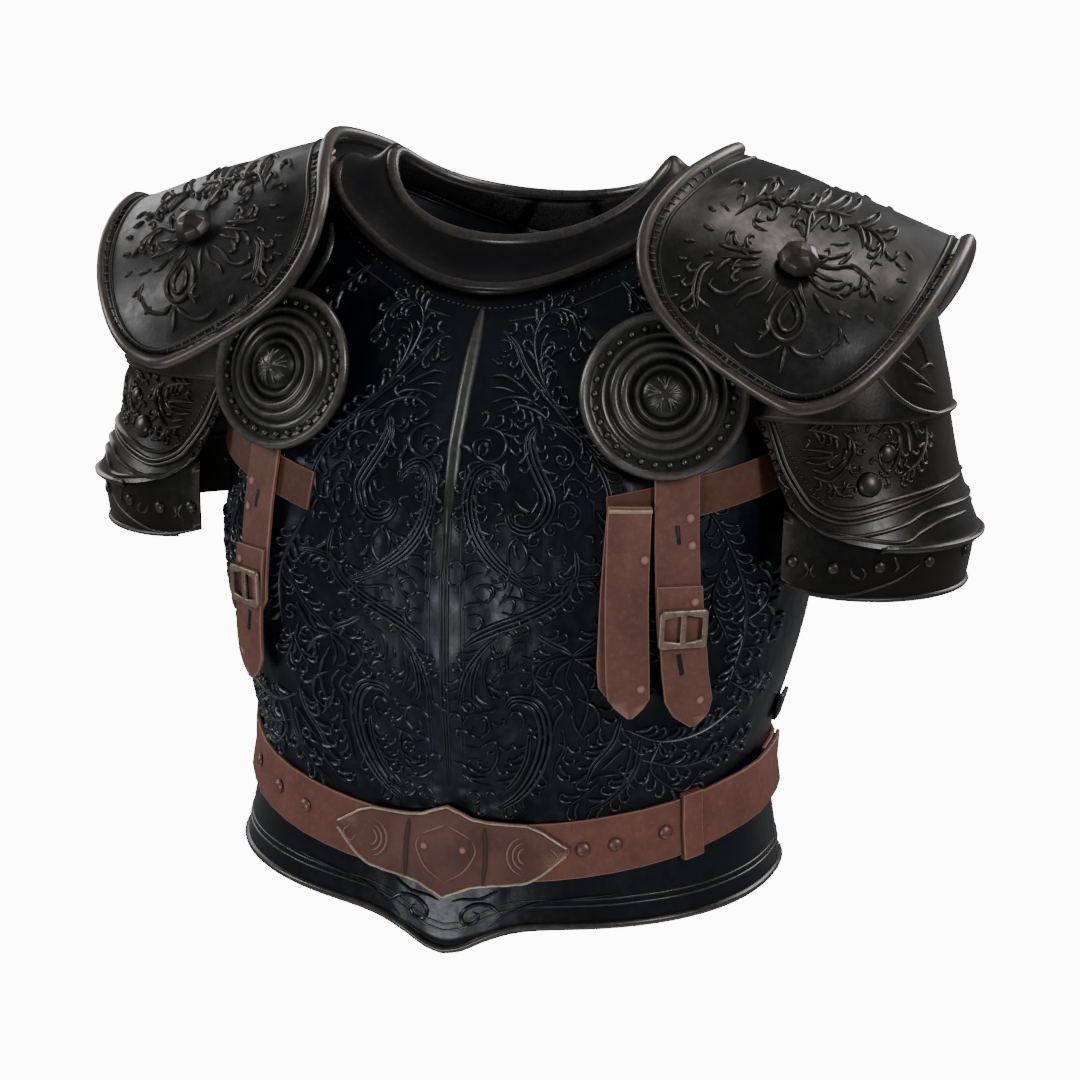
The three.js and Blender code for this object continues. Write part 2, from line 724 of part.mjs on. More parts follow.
function buildArms() {
  addPair('lower_lame', armBand({
    topZ: lowerLameTop,
    bottomZ: lowerLameBottom,
    spread: () => LOWER_LAME_SPREAD,
    lift: lowerLameLift,
    rise: LOWER_LAME_RISE,
  }), 'steel');
  addPair('arm_plate', armBand({
    topZ: armPlateTop,
    bottomZ: armPlateBottom,
    spread: (share) => mix(ARM_PLATE_TOP_SPREAD, ARM_PLATE_BOTTOM_SPREAD, share),
    lift: armPlateLift,
    rise: ARM_PLATE_RISE,
  }), 'steel');
  addPair('upper_lame', armBand({
    topZ: ARM_TOP_Z,
    bottomZ: upperLameBottom,
    spread: () => UPPER_LAME_SPREAD,
    lift: () => 2 * shingle,
    rise: 0,
  }), 'steel');
}

// Leather straps: thin loops swept along a route

function strapLoop(thickness) {
  return [
    { share: -1, height: 0 },
    { share: 0, height: 0 },
    { share: 1, height: 0 },
    { share: 1, height: thickness },
    { share: 0, height: thickness },
    { share: -1, height: thickness },
  ];
}

function evenly(count) {
  return Array.from({ length: count + 1 }, (_, index) => index / count);
}

// A strap that hangs on the chest along a line that gives x at each height;
// its last stations narrow to a point
function hangingStrap({ line, topZ, tipZ, width, lift, thickness }) {
  const tipLength = width * 0.6;
  const place = (station, entry) => {
    const z = mix(topZ, tipZ, station);
    const narrow = Math.max(0.12, Math.min(1, ((z - tipZ) / tipLength) ** 0.6));
    const aside = line(z) + (entry.share * narrow * width) / 2;
    return torsoOver(torsoAngle(aside, z), z, lift(z) + entry.height);
  };
  const stations = evenly(STRAP_ROWS);
  stations.splice(-1, 0, 1 - tipLength / 2 / (topZ - tipZ));
  stations.sort((a, b) => a - b);
  return sweepLoop(stations, strapLoop(thickness), place, false);
}

const armStrapLift = LEATHER_GAP;
const firstLayer = armStrapLift + LEATHER + LEATHER_GAP + CLEARANCE / 2;
const secondLayer = firstLayer + LEATHER + LEATHER_GAP;
const buckleLayer = secondLayer + LEATHER + CLEARANCE;

function buildArmStraps() {
  const innerAngle = torsoAngle(ARM_STRAP_INNER_X, ARM_STRAP_INNER_Z);
  const outerAngle = torsoAngle(ARM_STRAP_OUTER_X, ARM_STRAP_OUTER_Z);
  const place = (station, entry) => {
    const angle = mix(innerAngle, outerAngle, station);
    const middleZ = mix(ARM_STRAP_INNER_Z, ARM_STRAP_OUTER_Z, station);
    return torsoOver(angle, middleZ + (entry.share * STRAP_WIDTH) / 2, armStrapLift + entry.height);
  };
  addPair('arm_strap', sweepLoop(evenly(STRAP_ROWS), strapLoop(LEATHER), place, false), 'leather');
}

const roundelFootZ = ROUNDEL_Z - ROUNDEL_RADIUS;

function roundelStrapLift(z) {
  return mix(LEATHER_GAP, firstLayer, smooth((STRAP_TOP_Z - z) / (STRAP_TOP_Z - roundelFootZ)));
}

function strapLine(z) {
  return STRAP_X + (STRAP_LEAN * (STRAP_TOP_Z - z)) / (STRAP_TOP_Z - STRAP_TIP_Z);
}

function tailLine(side) {
  return (z) => LOOSE_TAIL_X
    + (side * STRAP_WIDTH * (LOOSE_TAIL_TOP_Z - z)) / (8 * (LOOSE_TAIL_TOP_Z - LOOSE_TAIL_TIP_Z));
}

function buildHangingStraps() {
  const usual = { width: STRAP_WIDTH, thickness: LEATHER };
  addPair('roundel_strap', hangingStrap({
    ...usual,
    line: strapLine,
    topZ: STRAP_TOP_Z,
    tipZ: STRAP_BUCKLE_Z - BUCKLE_HEIGHT,
    lift: roundelStrapLift,
  }), 'leather');
  addPair('strap_tail', hangingStrap({
    ...usual,
    line: strapLine,
    topZ: STRAP_BUCKLE_Z + BUCKLE_HEIGHT,
    tipZ: STRAP_TIP_Z,
    lift: () => secondLayer,
  }), 'leather');
  add('loose_tail_back', hangingStrap({
    ...usual,
    line: tailLine(-1),
    topZ: LOOSE_TAIL_TOP_Z,
    tipZ: LOOSE_TAIL_TIP_Z + STRAP_WIDTH / 3,
    lift: () => firstLayer,
  }), 'leather');
  add('loose_tail_front', hangingStrap({
    ...usual,
    line: tailLine(1),
    topZ: LOOSE_TAIL_TOP_Z,
    tipZ: LOOSE_TAIL_TIP_Z,
    lift: () => secondLayer,
  }), 'leather');
}

// Buckles: a flat frame with a prong across it

function buckleGeometry(width, height) {
  const halfWidth = width / 2;
  const halfHeight = height / 2;
  const corner = BUCKLE_BAR / 2;
  const outline = [];
  for (const [sideX, sideY] of [[1, -1], [1, 1], [-1, 1], [-1, -1]]) {
    const lying = new THREE.Vector2(sideX * (halfWidth - corner), sideY * halfHeight);
    const standing = new THREE.Vector2(sideX * halfWidth, sideY * (halfHeight - corner));
    outline.push(...(sideX * sideY < 0 ? [lying, standing] : [standing, lying]));
  }
  const frame = new THREE.Shape(outline);
  for (const side of [-1, 1]) {
    const inner = side * (BUCKLE_BAR / 2);
    const outer = side * (halfWidth - BUCKLE_BAR);
    const reach = halfHeight - BUCKLE_BAR;
    const outerReach = reach - corner;
    const corners = [[inner, -reach], [outer, -outerReach], [outer, outerReach], [inner, reach]];
    frame.holes.push(new THREE.Path(corners.map(([x, y]) => new THREE.Vector2(x, y))));
  }
  return new THREE.ExtrudeGeometry(frame, { depth: BUCKLE_BAR * 0.8, bevelEnabled: false });
}

function laidOn(geometry, seat, normal, up) {
  const across = up.clone().cross(normal).normalize();
  const along = normal.clone().cross(across);
  const place = new THREE.Matrix4().makeBasis(across, along, normal).setPosition(seat);
  return geometry.applyMatrix4(place);
}

function buildStrapBuckles() {
  const angle = torsoAngle(strapLine(STRAP_BUCKLE_Z), STRAP_BUCKLE_Z);
  const normal = torsoNormal(angle, STRAP_BUCKLE_Z);
  const bow = (BUCKLE_WIDTH * BUCKLE_WIDTH) / (8 * CHEST_FRONT);
  const seat = torsoOver(angle, STRAP_BUCKLE_Z, buckleLayer + bow * 0.2);
  const frame = buckleGeometry(BUCKLE_WIDTH, BUCKLE_HEIGHT);
  addPair('strap_buckle', laidOn(frame, seat, normal, new THREE.Vector3(0, 0, 1)), 'brass');
}

// Shoulder straps run from the collar's bead to the underside of the cap

const shoulderTurn = radians(10);
const shoulderHalf = (SHOULDER_BUCKLE_WIDTH - 3 * BUCKLE_BAR) / 2;

function underCap(along, turn, share, halfWidth, height) {
  const aside = turn + (share * halfWidth) / capHalfDepth;
  return capOver(along, aside, -STEEL_WALL - HIDDEN_GAP - LEATHER + height);
}

function besideCollar(share, height) {
  const y = capPoint(0, shoulderTurn).y - share * shoulderHalf;
  const angle = Math.atan2(neckSideX, -y);
  const { bead } = collarFrame(angle);
  const x = bead.x + COLLAR_BEAD_RADIUS + CLEARANCE;
  return new THREE.Vector3(x, y, bead.z + height);
}

// Station -1 is at the collar, 0 is where the strap meets the cap and 1 is its hidden end
function onShoulderStrap(station, share, height) {
  const along = mix(0.15, 0.3, Math.max(0, station));
  const under = underCap(along, shoulderTurn, share, shoulderHalf, height);
  return station < 0 ? besideCollar(share, height).lerp(under, station + 1) : under;
}

function buildShoulderStraps() {
  const place = (station, entry) => onShoulderStrap(station, entry.share, entry.height);
  addPair('shoulder_strap', sweepLoop([-1, -0.5, 0, 0.35, 0.7, 1], strapLoop(LEATHER), place, false), 'leather');
}

function buildShoulderBuckles() {
  const middle = -0.66;
  const ahead = onShoulderStrap(middle + 0.2, 0, 0).sub(onShoulderStrap(middle - 0.2, 0, 0)).normalize();
  const across = onShoulderStrap(middle, 1, 0).sub(onShoulderStrap(middle, -1, 0));
  const normal = across.cross(ahead).normalize();
  if (normal.z < 0) normal.negate();
  const seat = onShoulderStrap(middle, 0, LEATHER).addScaledVector(normal, LEATHER_GAP);
  const frame = buckleGeometry(SHOULDER_BUCKLE_WIDTH, SHOULDER_BUCKLE_LENGTH);
  addPair('shoulder_buckle', laidOn(frame, seat, normal, ahead), 'brass');
}

// Hidden leathers carry the upper lames from the caps

function buildArmLeathers() {
  const halfWidth = LEATHER_WIDTH_HIDDEN / 2;
  const stations = [
    { on: 'cap', along: 0.5 },
    { on: 'cap', along: 0.6 },
    { on: 'cap', along: 0.7 },
    { on: 'arm', drop: 0.1 },
    { on: 'arm', drop: 0.35 },
    { on: 'arm', drop: 0.6 },
  ];
  const place = (station, entry) => {
    if (station.on === 'cap') return underCap(station.along, 0, entry.share, halfWidth, entry.height);
    const z = ARM_TOP_Z - station.drop * UPPER_LAME_HEIGHT;
    const turn = (-entry.share * halfWidth) / ARM_HALF_DEPTH;
    return armOver(turn, z, 2 * shingle - STEEL_WALL - HIDDEN_GAP - LEATHER + entry.height);
  };
  addPair('arm_leather', sweepLoop(stations, strapLoop(LEATHER), place, false), 'leather');
}

// Belt: two straps that overlap at the sides, with a pointed plate and a keeper

function beltZ(angle) {
  const ahead = Math.max(0, Math.cos(angle));
  return BELT_SIDE_Z - BELT_DIP * ahead ** 1.5;
}

function beltOver(angle, share, height) {
  const z = beltZ(angle) + (share * BELT_WIDTH) / 2;
  return torsoOver(angle, z, height);
}

const beltLift = LEATHER_GAP;
const beltTop = beltLift + LEATHER + CLEARANCE;

// The angle in degrees at a number of degrees past the belt plate's end on the same side
function pastPlate(degrees) {
  const reach = -torsoPoint(0, beltZ(0)).y;
  const plateHalf = (BELT_PLATE_WIDTH / 2 / reach) * (180 / Math.PI);
  return degrees + Math.sign(degrees) * plateHalf;
}

function frontBeltLift(angle) {
  const rise = smooth((Math.abs(angle) - 10 * columnTurn) / (2 * columnTurn));
  return beltLift + (LEATHER + LEATHER_GAP) * rise;
}

function buildBelt() {
  const front = [];
  for (let step = -15; step <= 15; step += 1) front.push(step * columnTurn);
  const placeFront = (angle, entry) => beltOver(angle, entry.share, frontBeltLift(angle) + entry.height);
  add('belt_front', sweepLoop(front, strapLoop(LEATHER), placeFront, false), 'leather');
  const back = [];
  for (let step = 13; step <= 2 * TORSO_COLUMNS - 13; step += 1) back.push(step * columnTurn);
  const placeBack = (angle, entry) => beltOver(angle, entry.share, beltLift + entry.height);
  add('belt_back', sweepLoop(back, strapLoop(LEATHER), placeBack, false), 'leather');
}

// Half outline of the belt plate from its left point: shares of half its width and height
const PLATE_OUTLINE = [
  { level: -1, height: 0.06 },
  { level: -0.72, height: 0.62 },
  { level: -0.25, height: 0.72 },
  { level: 0, height: 1 },
  { level: 0.25, height: 0.72 },
  { level: 0.72, height: 0.62 },
  { level: 1, height: 0.06 },
];

function buildBeltPlate() {
  const arc = BELT_PLATE_WIDTH / 2;
  const frontReach = -torsoPoint(0, beltZ(0)).y;
  const stations = evenly(18).map((share) => 2 * share - 1);
  const place = (station, entry) => {
    const angle = (station * arc) / frontReach;
    const half = (BELT_PLATE_HEIGHT / 2) * readTable(PLATE_OUTLINE, station, 'height');
    const z = beltZ(angle) + entry.share * half;
    return torsoOver(angle, z, beltTop + entry.height);
  };
  add('belt_plate', sweepLoop(stations, strapLoop(BELT_PLATE_THICKNESS), place, false), 'leather');
}

function buildKeeper() {
  const middle = radians(pastPlate(KEEPER_PAST_PLATE));
  const half = KEEPER_WIDTH / 2 / CHEST_FRONT;
  const outer = 1 + (2 * (CLEARANCE + LEATHER)) / BELT_WIDTH;
  const inner = 1 + (2 * CLEARANCE) / BELT_WIDTH;
  const loop = [
    { share: -inner, height: beltLift },
    { share: -inner, height: beltTop },
    { share: 0, height: beltTop },
    { share: inner, height: beltTop },
    { share: inner, height: beltLift },
    { share: outer, height: beltLift },
    { share: outer, height: beltTop + LEATHER },
    { share: 0, height: beltTop + LEATHER },
    { share: -outer, height: beltTop + LEATHER },
    { share: -outer, height: beltLift },
  ];
  const place = (angle, entry) => beltOver(angle, entry.share, entry.height);
  add('belt_keeper', sweepLoop([middle - half, middle, middle + half], loop, place, false), 'leather');
}

function buildStuds() {
  STUDS_PAST_PLATE.forEach((degrees, index) => {
    const angle = radians(pastPlate(degrees));
    const z = beltZ(angle);
    const seat = torsoOver(angle, z, frontBeltLift(angle) + LEATHER + LEATHER_GAP);
    const normal = torsoNormal(angle, z);
    const dome = new THREE.SphereGeometry(STUD_RADIUS, 8, 3, 0, 2 * Math.PI, 0, Math.PI / 2);
    dome.rotateX(Math.PI / 2);
    dome.scale(1, 1, STUD_RISE / STUD_RADIUS);
    const base = new THREE.CircleGeometry(STUD_RADIUS, 8);
    base.rotateY(Math.PI);
    const parts = [dome, base].map((piece) => piece.toNonIndexed().attributes.position.array);
    const shell = new THREE.BufferGeometry();
    const positions = new Float32Array(parts[0].length + parts[1].length);
    positions.set(parts[0]);
    positions.set(parts[1], parts[0].length);
    shell.setAttribute('position', new THREE.BufferAttribute(positions, 3));
    const stud = fromManifold(toManifold(shell));
    add(`belt_stud_${index + 1}`, laidOn(stud, seat, normal, new THREE.Vector3(0, 0, 1)), 'brass');
  });
}

// Side clasps lie across the seam between breastplate and backplate

function buildClasps() {
  const middle = Math.PI / 2;
  const half = CLASP_WIDTH / CHEST_WIDTH;
  const stations = [-1, -0.5, 0, 0.5, 1];
  const place = (station, entry) => {
    const z = CLASP_Z + (entry.share * CLASP_HEIGHT) / 2;
    return torsoOver(middle + station * half, z, LEATHER_GAP + entry.height);
  };
  addPair('side_clasp', sweepLoop(stations, strapLoop(CLASP_THICKNESS), place, false), 'steel');
}

buildTorso();
buildCollar();
buildCaps();
buildBosses();
buildArms();
buildArmStraps();
buildHangingStraps();
buildRoundels();
buildStrapBuckles();
buildShoulderStraps();
buildShoulderBuckles();
buildArmLeathers();
buildBelt();
buildBeltPlate();
buildKeeper();
buildStuds();
buildClasps();

export default group;
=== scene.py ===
import logging
import math
from dataclasses import dataclass, field
from enum import Enum
from typing import Callable, Iterable, Sequence

import bmesh
import bpy
import numpy as np
from mathutils import Matrix, Vector
from mathutils.bvhtree import BVHTree
from mathutils.kdtree import KDTree


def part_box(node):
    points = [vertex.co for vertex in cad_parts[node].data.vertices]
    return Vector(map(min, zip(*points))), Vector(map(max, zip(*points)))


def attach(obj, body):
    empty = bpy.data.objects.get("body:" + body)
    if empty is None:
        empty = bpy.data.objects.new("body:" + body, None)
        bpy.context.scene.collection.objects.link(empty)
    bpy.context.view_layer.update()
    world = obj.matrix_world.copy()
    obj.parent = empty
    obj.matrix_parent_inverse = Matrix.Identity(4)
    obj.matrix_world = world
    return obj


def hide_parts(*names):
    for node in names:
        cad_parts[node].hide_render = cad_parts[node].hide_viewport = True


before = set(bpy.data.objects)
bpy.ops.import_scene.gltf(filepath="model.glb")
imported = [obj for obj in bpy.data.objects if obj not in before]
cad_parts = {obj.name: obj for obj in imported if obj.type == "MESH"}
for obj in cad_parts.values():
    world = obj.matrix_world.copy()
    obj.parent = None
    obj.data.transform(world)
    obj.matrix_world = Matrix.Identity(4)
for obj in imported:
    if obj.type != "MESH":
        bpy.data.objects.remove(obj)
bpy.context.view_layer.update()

logging.basicConfig(level=logging.INFO, format="%(message)s")
LOG = logging.getLogger("cuirass")

MM = 0.001
Point2 = tuple[float, float]
Point3 = tuple[float, float, float]
StrokeRow = tuple[float, int, tuple[Point2, ...]]
# A place and a normal, or the start and the direction of a ray
Seat = tuple[Vector, Vector]
Aim = Callable[[float, float], Seat]
Turn = Callable[[float, float], Point2]
Piece = bpy.types.Object


class Side(Enum):
    """A side of the wearer; the value is the sign of X."""

    LEFT = 1
    RIGHT = -1

    @property
    def word(self) -> str:
        """The side's name as the nodes are named."""
        return self.name.lower()


class Slot(Enum):
    """The material slots of the record."""

    STEEL = "steel"
    LEATHER = "leather"
    FITTINGS = "brass_fittings"


# Chest ornament on the wearer's left: width in mm, ridges, then points as degrees from the ridge and z in mm
CHEST_STROKES: tuple[StrokeRow, ...] = (
    (2.4, 1, ((26.2, -125), (23, -114), (20.4, -101), (19, -88), (19.2, -78), (21.7, -69), (26.5, -64),
        (30.8, -66), (32.4, -74), (30.6, -82), (27.7, -85), (25.6, -83))),
    (1.8, 1, ((22.2, -111), (20.8, -96), (21, -85), (22.9, -78), (26.3, -75), (28.7, -76), (28.8, -80))),
    (4.5, 2, ((8.6, -77), (13.3, -86), (16.1, -97), (20.1, -108), (24.7, -120), (28.7, -132),
        (32.8, -144), (37.1, -151))),
    (2.4, 1, ((6.4, -103), (10.1, -102), (13.9, -106), (17.2, -111))),
    (2.0, 1, ((6.8, -109), (10.4, -109), (13.7, -111))),
    (2.6, 1, ((7.5, -117), (11.9, -114), (16.3, -114), (20, -118))),
    (2.6, 1, ((9.7, -122), (13.9, -118), (18.5, -120), (22.6, -126))),
    (1.8, 1, ((7.8, -83), (10.6, -83), (11.9, -87), (10.1, -89), (8.4, -88))),
    (1.6, 1, ((8.1, -91), (10.3, -92), (11.3, -90))),
    (1.8, 1, ((11.6, -125), (13.2, -127), (12.9, -131), (11, -132), (9.6, -129))),
    (2.2, 1, ((6, -93), (8.4, -96), (9.7, -95))),
    (4.5, 2, ((19.1, -128), (23.4, -127), (28.1, -134), (31.5, -145), (33.5, -158), (34.1, -169),
        (32.8, -178), (30.5, -184), (28.6, -188))),
    (2.6, 1, ((22.1, -140), (24.3, -139), (26.8, -142), (27.1, -149), (25.1, -152), (23.1, -148))),
    (2.4, 1, ((25.6, -158), (27.6, -157), (29.5, -162), (29.9, -169))),
    (2.4, 1, ((23.8, -181), (24.3, -172), (26.5, -170), (28.2, -175), (27.9, -182), (25.9, -186),
        (25, -180))),
    (2.2, 1, ((29, -166), (30.9, -170), (31, -180))),
    (2.2, 1, ((26.6, -153), (25.1, -160), (25.3, -167))),
    (9, 3, ((19.1, -129), (17.7, -136), (18.2, -146), (19.9, -156), (21.8, -167), (21.8, -175),
        (20.3, -183), (17.6, -188), (14.5, -186), (13.1, -180), (14.1, -175))),
    (2.2, 1, ((17.4, -162), (19.2, -165), (19.5, -172), (17.7, -179), (16.7, -176))),
    (10, 4, ((12.7, -166), (12, -160), (9.1, -154), (6.2, -156), (4.7, -166), (4.7, -179), (6.4, -193),
        (9.9, -206), (15, -217), (20.3, -225), (23.8, -229))),
    (2.4, 1, ((8.9, -173), (11.1, -174), (12, -178), (10.4, -181))),
    (2.6, 1, ((4.6, -134), (7, -131), (10.7, -134), (12.2, -141), (10.6, -148), (7.6, -150),
        (5.3, -147), (4.3, -141), (5.3, -138), (8, -138), (8.8, -143))),
    (2.6, 1, ((15.3, -191), (13.6, -199), (13.7, -209), (15, -212))),
    (2.6, 1, ((15.3, -192), (17.4, -200), (17.2, -208), (15.5, -214))),
    (2.0, 1, ((14, -190), (15.6, -194), (14.3, -196))),
    (2.2, 1, ((24.5, -194), (25.5, -199), (24.8, -204), (26, -207))),
    (2.4, 1, ((4.5, -218), (4.9, -210), (7.1, -208), (9.5, -211), (8.6, -217))),
    (2.4, 1, ((6.1, -228), (7.8, -222), (10.2, -222), (10.5, -228), (8.5, -232), (6.9, -230))),
    (2.6, 1, ((11.8, -232), (14.4, -228), (17.9, -230), (23.3, -230))),
    (2.6, 1, ((12.4, -237), (17, -239), (23.3, -232))),
    (4, 2, ((27.2, -198), (27.7, -210), (26.3, -220), (23.8, -229))),
    (2.2, 1, ((28.8, -189), (30.7, -190), (30.5, -195))),
    (2.2, 1, ((31.7, -181), (32.8, -188), (32.1, -195))),
    (2.2, 1, ((5.9, -226), (8, -222), (10.2, -225), (9.4, -232), (7.3, -231), (6.7, -228))),
    (2.2, 1, ((11.8, -234), (12.9, -228), (15, -230), (14.5, -237), (12.4, -238))),
    (2.2, 1, ((5, -241), (7.1, -240), (8.4, -244), (7.1, -249), (5.3, -248))),
    (2.2, 1, ((4.7, -211), (4.4, -220), (6, -216), (8.4, -214))),
    (8.5, 3, ((4.3, -260), (7.7, -253), (11.9, -247), (16.6, -241), (21.1, -234), (24.8, -226),
        (26.9, -217), (30.3, -214), (35.5, -214))),
    (4.5, 2, ((11.4, -252), (7.7, -264), (5.1, -275), (3.7, -288), (3, -300))),
    (4.5, 2, ((8, -266), (6.4, -279), (6.3, -293), (8.3, -299))),
    (2.4, 1, ((9.6, -266), (8.8, -280), (10.4, -292))),
    (2.4, 1, ((17.2, -254), (14.7, -258), (13.7, -266), (14.2, -274), (15.7, -271), (15.3, -265))),
    (2.0, 1, ((12.1, -266), (11.8, -272), (13.5, -276))),
    (4.5, 2, ((19.8, -249), (22.3, -254), (25.4, -258), (27.4, -262))),
    (3.0, 1, ((27.4, -262), (23.9, -264), (21, -269), (20, -277), (21.9, -281))),
    (3.0, 1, ((27.4, -263), (24.5, -270), (23.7, -280), (26, -284))),
    (2.4, 1, ((26.9, -265), (26.1, -275), (27.3, -284))),
    (3.0, 1, ((27.6, -264), (31.7, -262), (34.1, -256), (35.9, -248))),
    (3.0, 1, ((27.7, -264), (31.4, -269), (34, -278))),
    (3.0, 1, ((28.9, -289), (32.6, -295), (33.4, -307), (30.6, -315))),
    (2.6, 1, ((27.6, -299), (28.9, -309), (30.6, -315))),
    (2.6, 1, ((24.3, -289), (26, -296), (24.6, -304), (24, -316))),
    (2.2, 1, ((25.8, -286), (28, -294), (27.2, -302))),
    (2.4, 1, ((25.4, -319), (27.1, -322), (26.7, -329))),
    (10, 3, ((13.6, -298), (15.4, -292), (18.6, -292), (21.1, -298), (22.5, -312), (21.9, -329),
        (19.9, -344), (16.8, -356), (12.4, -365))),
    (2.4, 1, ((14.1, -304), (16, -299), (17.7, -304), (17, -312))),
    (4.5, 2, ((19.1, -313), (18.5, -330), (16.1, -345), (12.3, -357))),
    (2.4, 1, ((4, -314), (4.3, -308), (6.3, -303), (9.1, -304), (10.1, -312), (7.9, -319), (5.9, -317),
        (6.5, -311))),
    (2.8, 1, ((3.7, -324), (7.6, -326), (11.1, -320), (11.9, -331), (9.6, -342), (6, -341), (5.1, -335),
        (7.6, -332))),
    (2.4, 1, ((3.4, -343), (6.3, -349), (10.8, -350))),
    (2.2, 1, ((3.8, -360), (6.3, -355), (8.1, -359), (6.6, -363), (5.7, -360))),
    (2.2, 1, ((8.7, -359), (10.2, -354), (11.9, -358))),
    (2.8, 1, ((14, -432), (10.8, -426), (6.9, -427), (4.3, -433), (4.9, -439), (7.5, -438), (8.4, -433),
        (6.9, -431))),
    (2.2, 1, ((39.8, -416), (29.2, -419), (21, -423), (14.9, -431), (10.7, -440))),
    (2.2, 1, ((13, -416), (8.3, -423), (4.1, -424), (1.3, -427))),
    (5, 2, ((39.3, -225), (36, -237), (32.5, -249), (27.2, -262))),
    (2.4, 1, ((35.7, -261), (36.7, -271), (35.3, -281), (33, -290))),
    (2.2, 1, ((38.5, -264), (38, -275), (41.2, -289))),
    (2.8, 1, ((27.7, -272), (30.4, -285), (30.8, -298), (29.1, -316))),
    (2.4, 1, ((25.9, -259), (23.5, -262), (20.5, -267), (18.2, -273))),
    (3.0, 1, ((21.7, -266), (19.3, -271), (20.3, -280), (23.9, -291))),
    (1.8, 1, ((24, -281), (21.4, -284))),
    (1.8, 1, ((24.8, -286), (22.3, -290))),
    (1.8, 1, ((25.3, -292), (23.5, -297))),
    (5, 2, ((38, -303), (36.7, -319), (33.3, -333), (31.9, -346))),
    (5, 2, ((42.6, -316), (42.2, -339), (37.1, -357), (31.8, -365))),
    (2.4, 1, ((26, -309), (26.7, -321), (25.3, -332), (24.7, -345))),
    (2.4, 1, ((21.9, -303), (23.9, -318), (23.3, -331))),
    (2.2, 1, ((38.6, -340), (34.8, -341), (31.9, -347))),
    (2.2, 1, ((35, -344), (31.5, -354), (27.4, -363))),
    (2.2, 1, ((34.6, -281), (31.2, -271), (30.3, -278))),
    (4.5, 2, ((46.1, -46), (48.8, -57), (51.3, -70))),
    (3.0, 1, ((34.5, -194), (39.8, -227), (40.5, -264))),
    (2.6, 1, ((43.4, -151), (51.8, -169), (58.8, -207), (62.1, -246), (60.3, -291))),
    (2.4, 1, ((62.1, -246), (66.9, -236), (68.2, -211))),
    (2.4, 1, ((60.5, -264), (68.7, -262), (70.4, -244))),
    (2.4, 1, ((60.4, -284), (68.2, -296), (71.9, -286))),
    (2.4, 1, ((56.6, -206), (54, -230), (58.4, -257))),
    (2.6, 1, ((39.2, -310), (47.1, -319), (56.2, -316), (65.5, -301))),
    (2.4, 1, ((43.4, -331), (53.1, -338), (63.4, -334), (71.5, -329))),
    (2.4, 1, ((34.9, -337), (40.7, -321), (39.8, -351))),
    (2.4, 1, ((47.1, -319), (46, -339), (53.9, -355), (58.7, -344))),
)
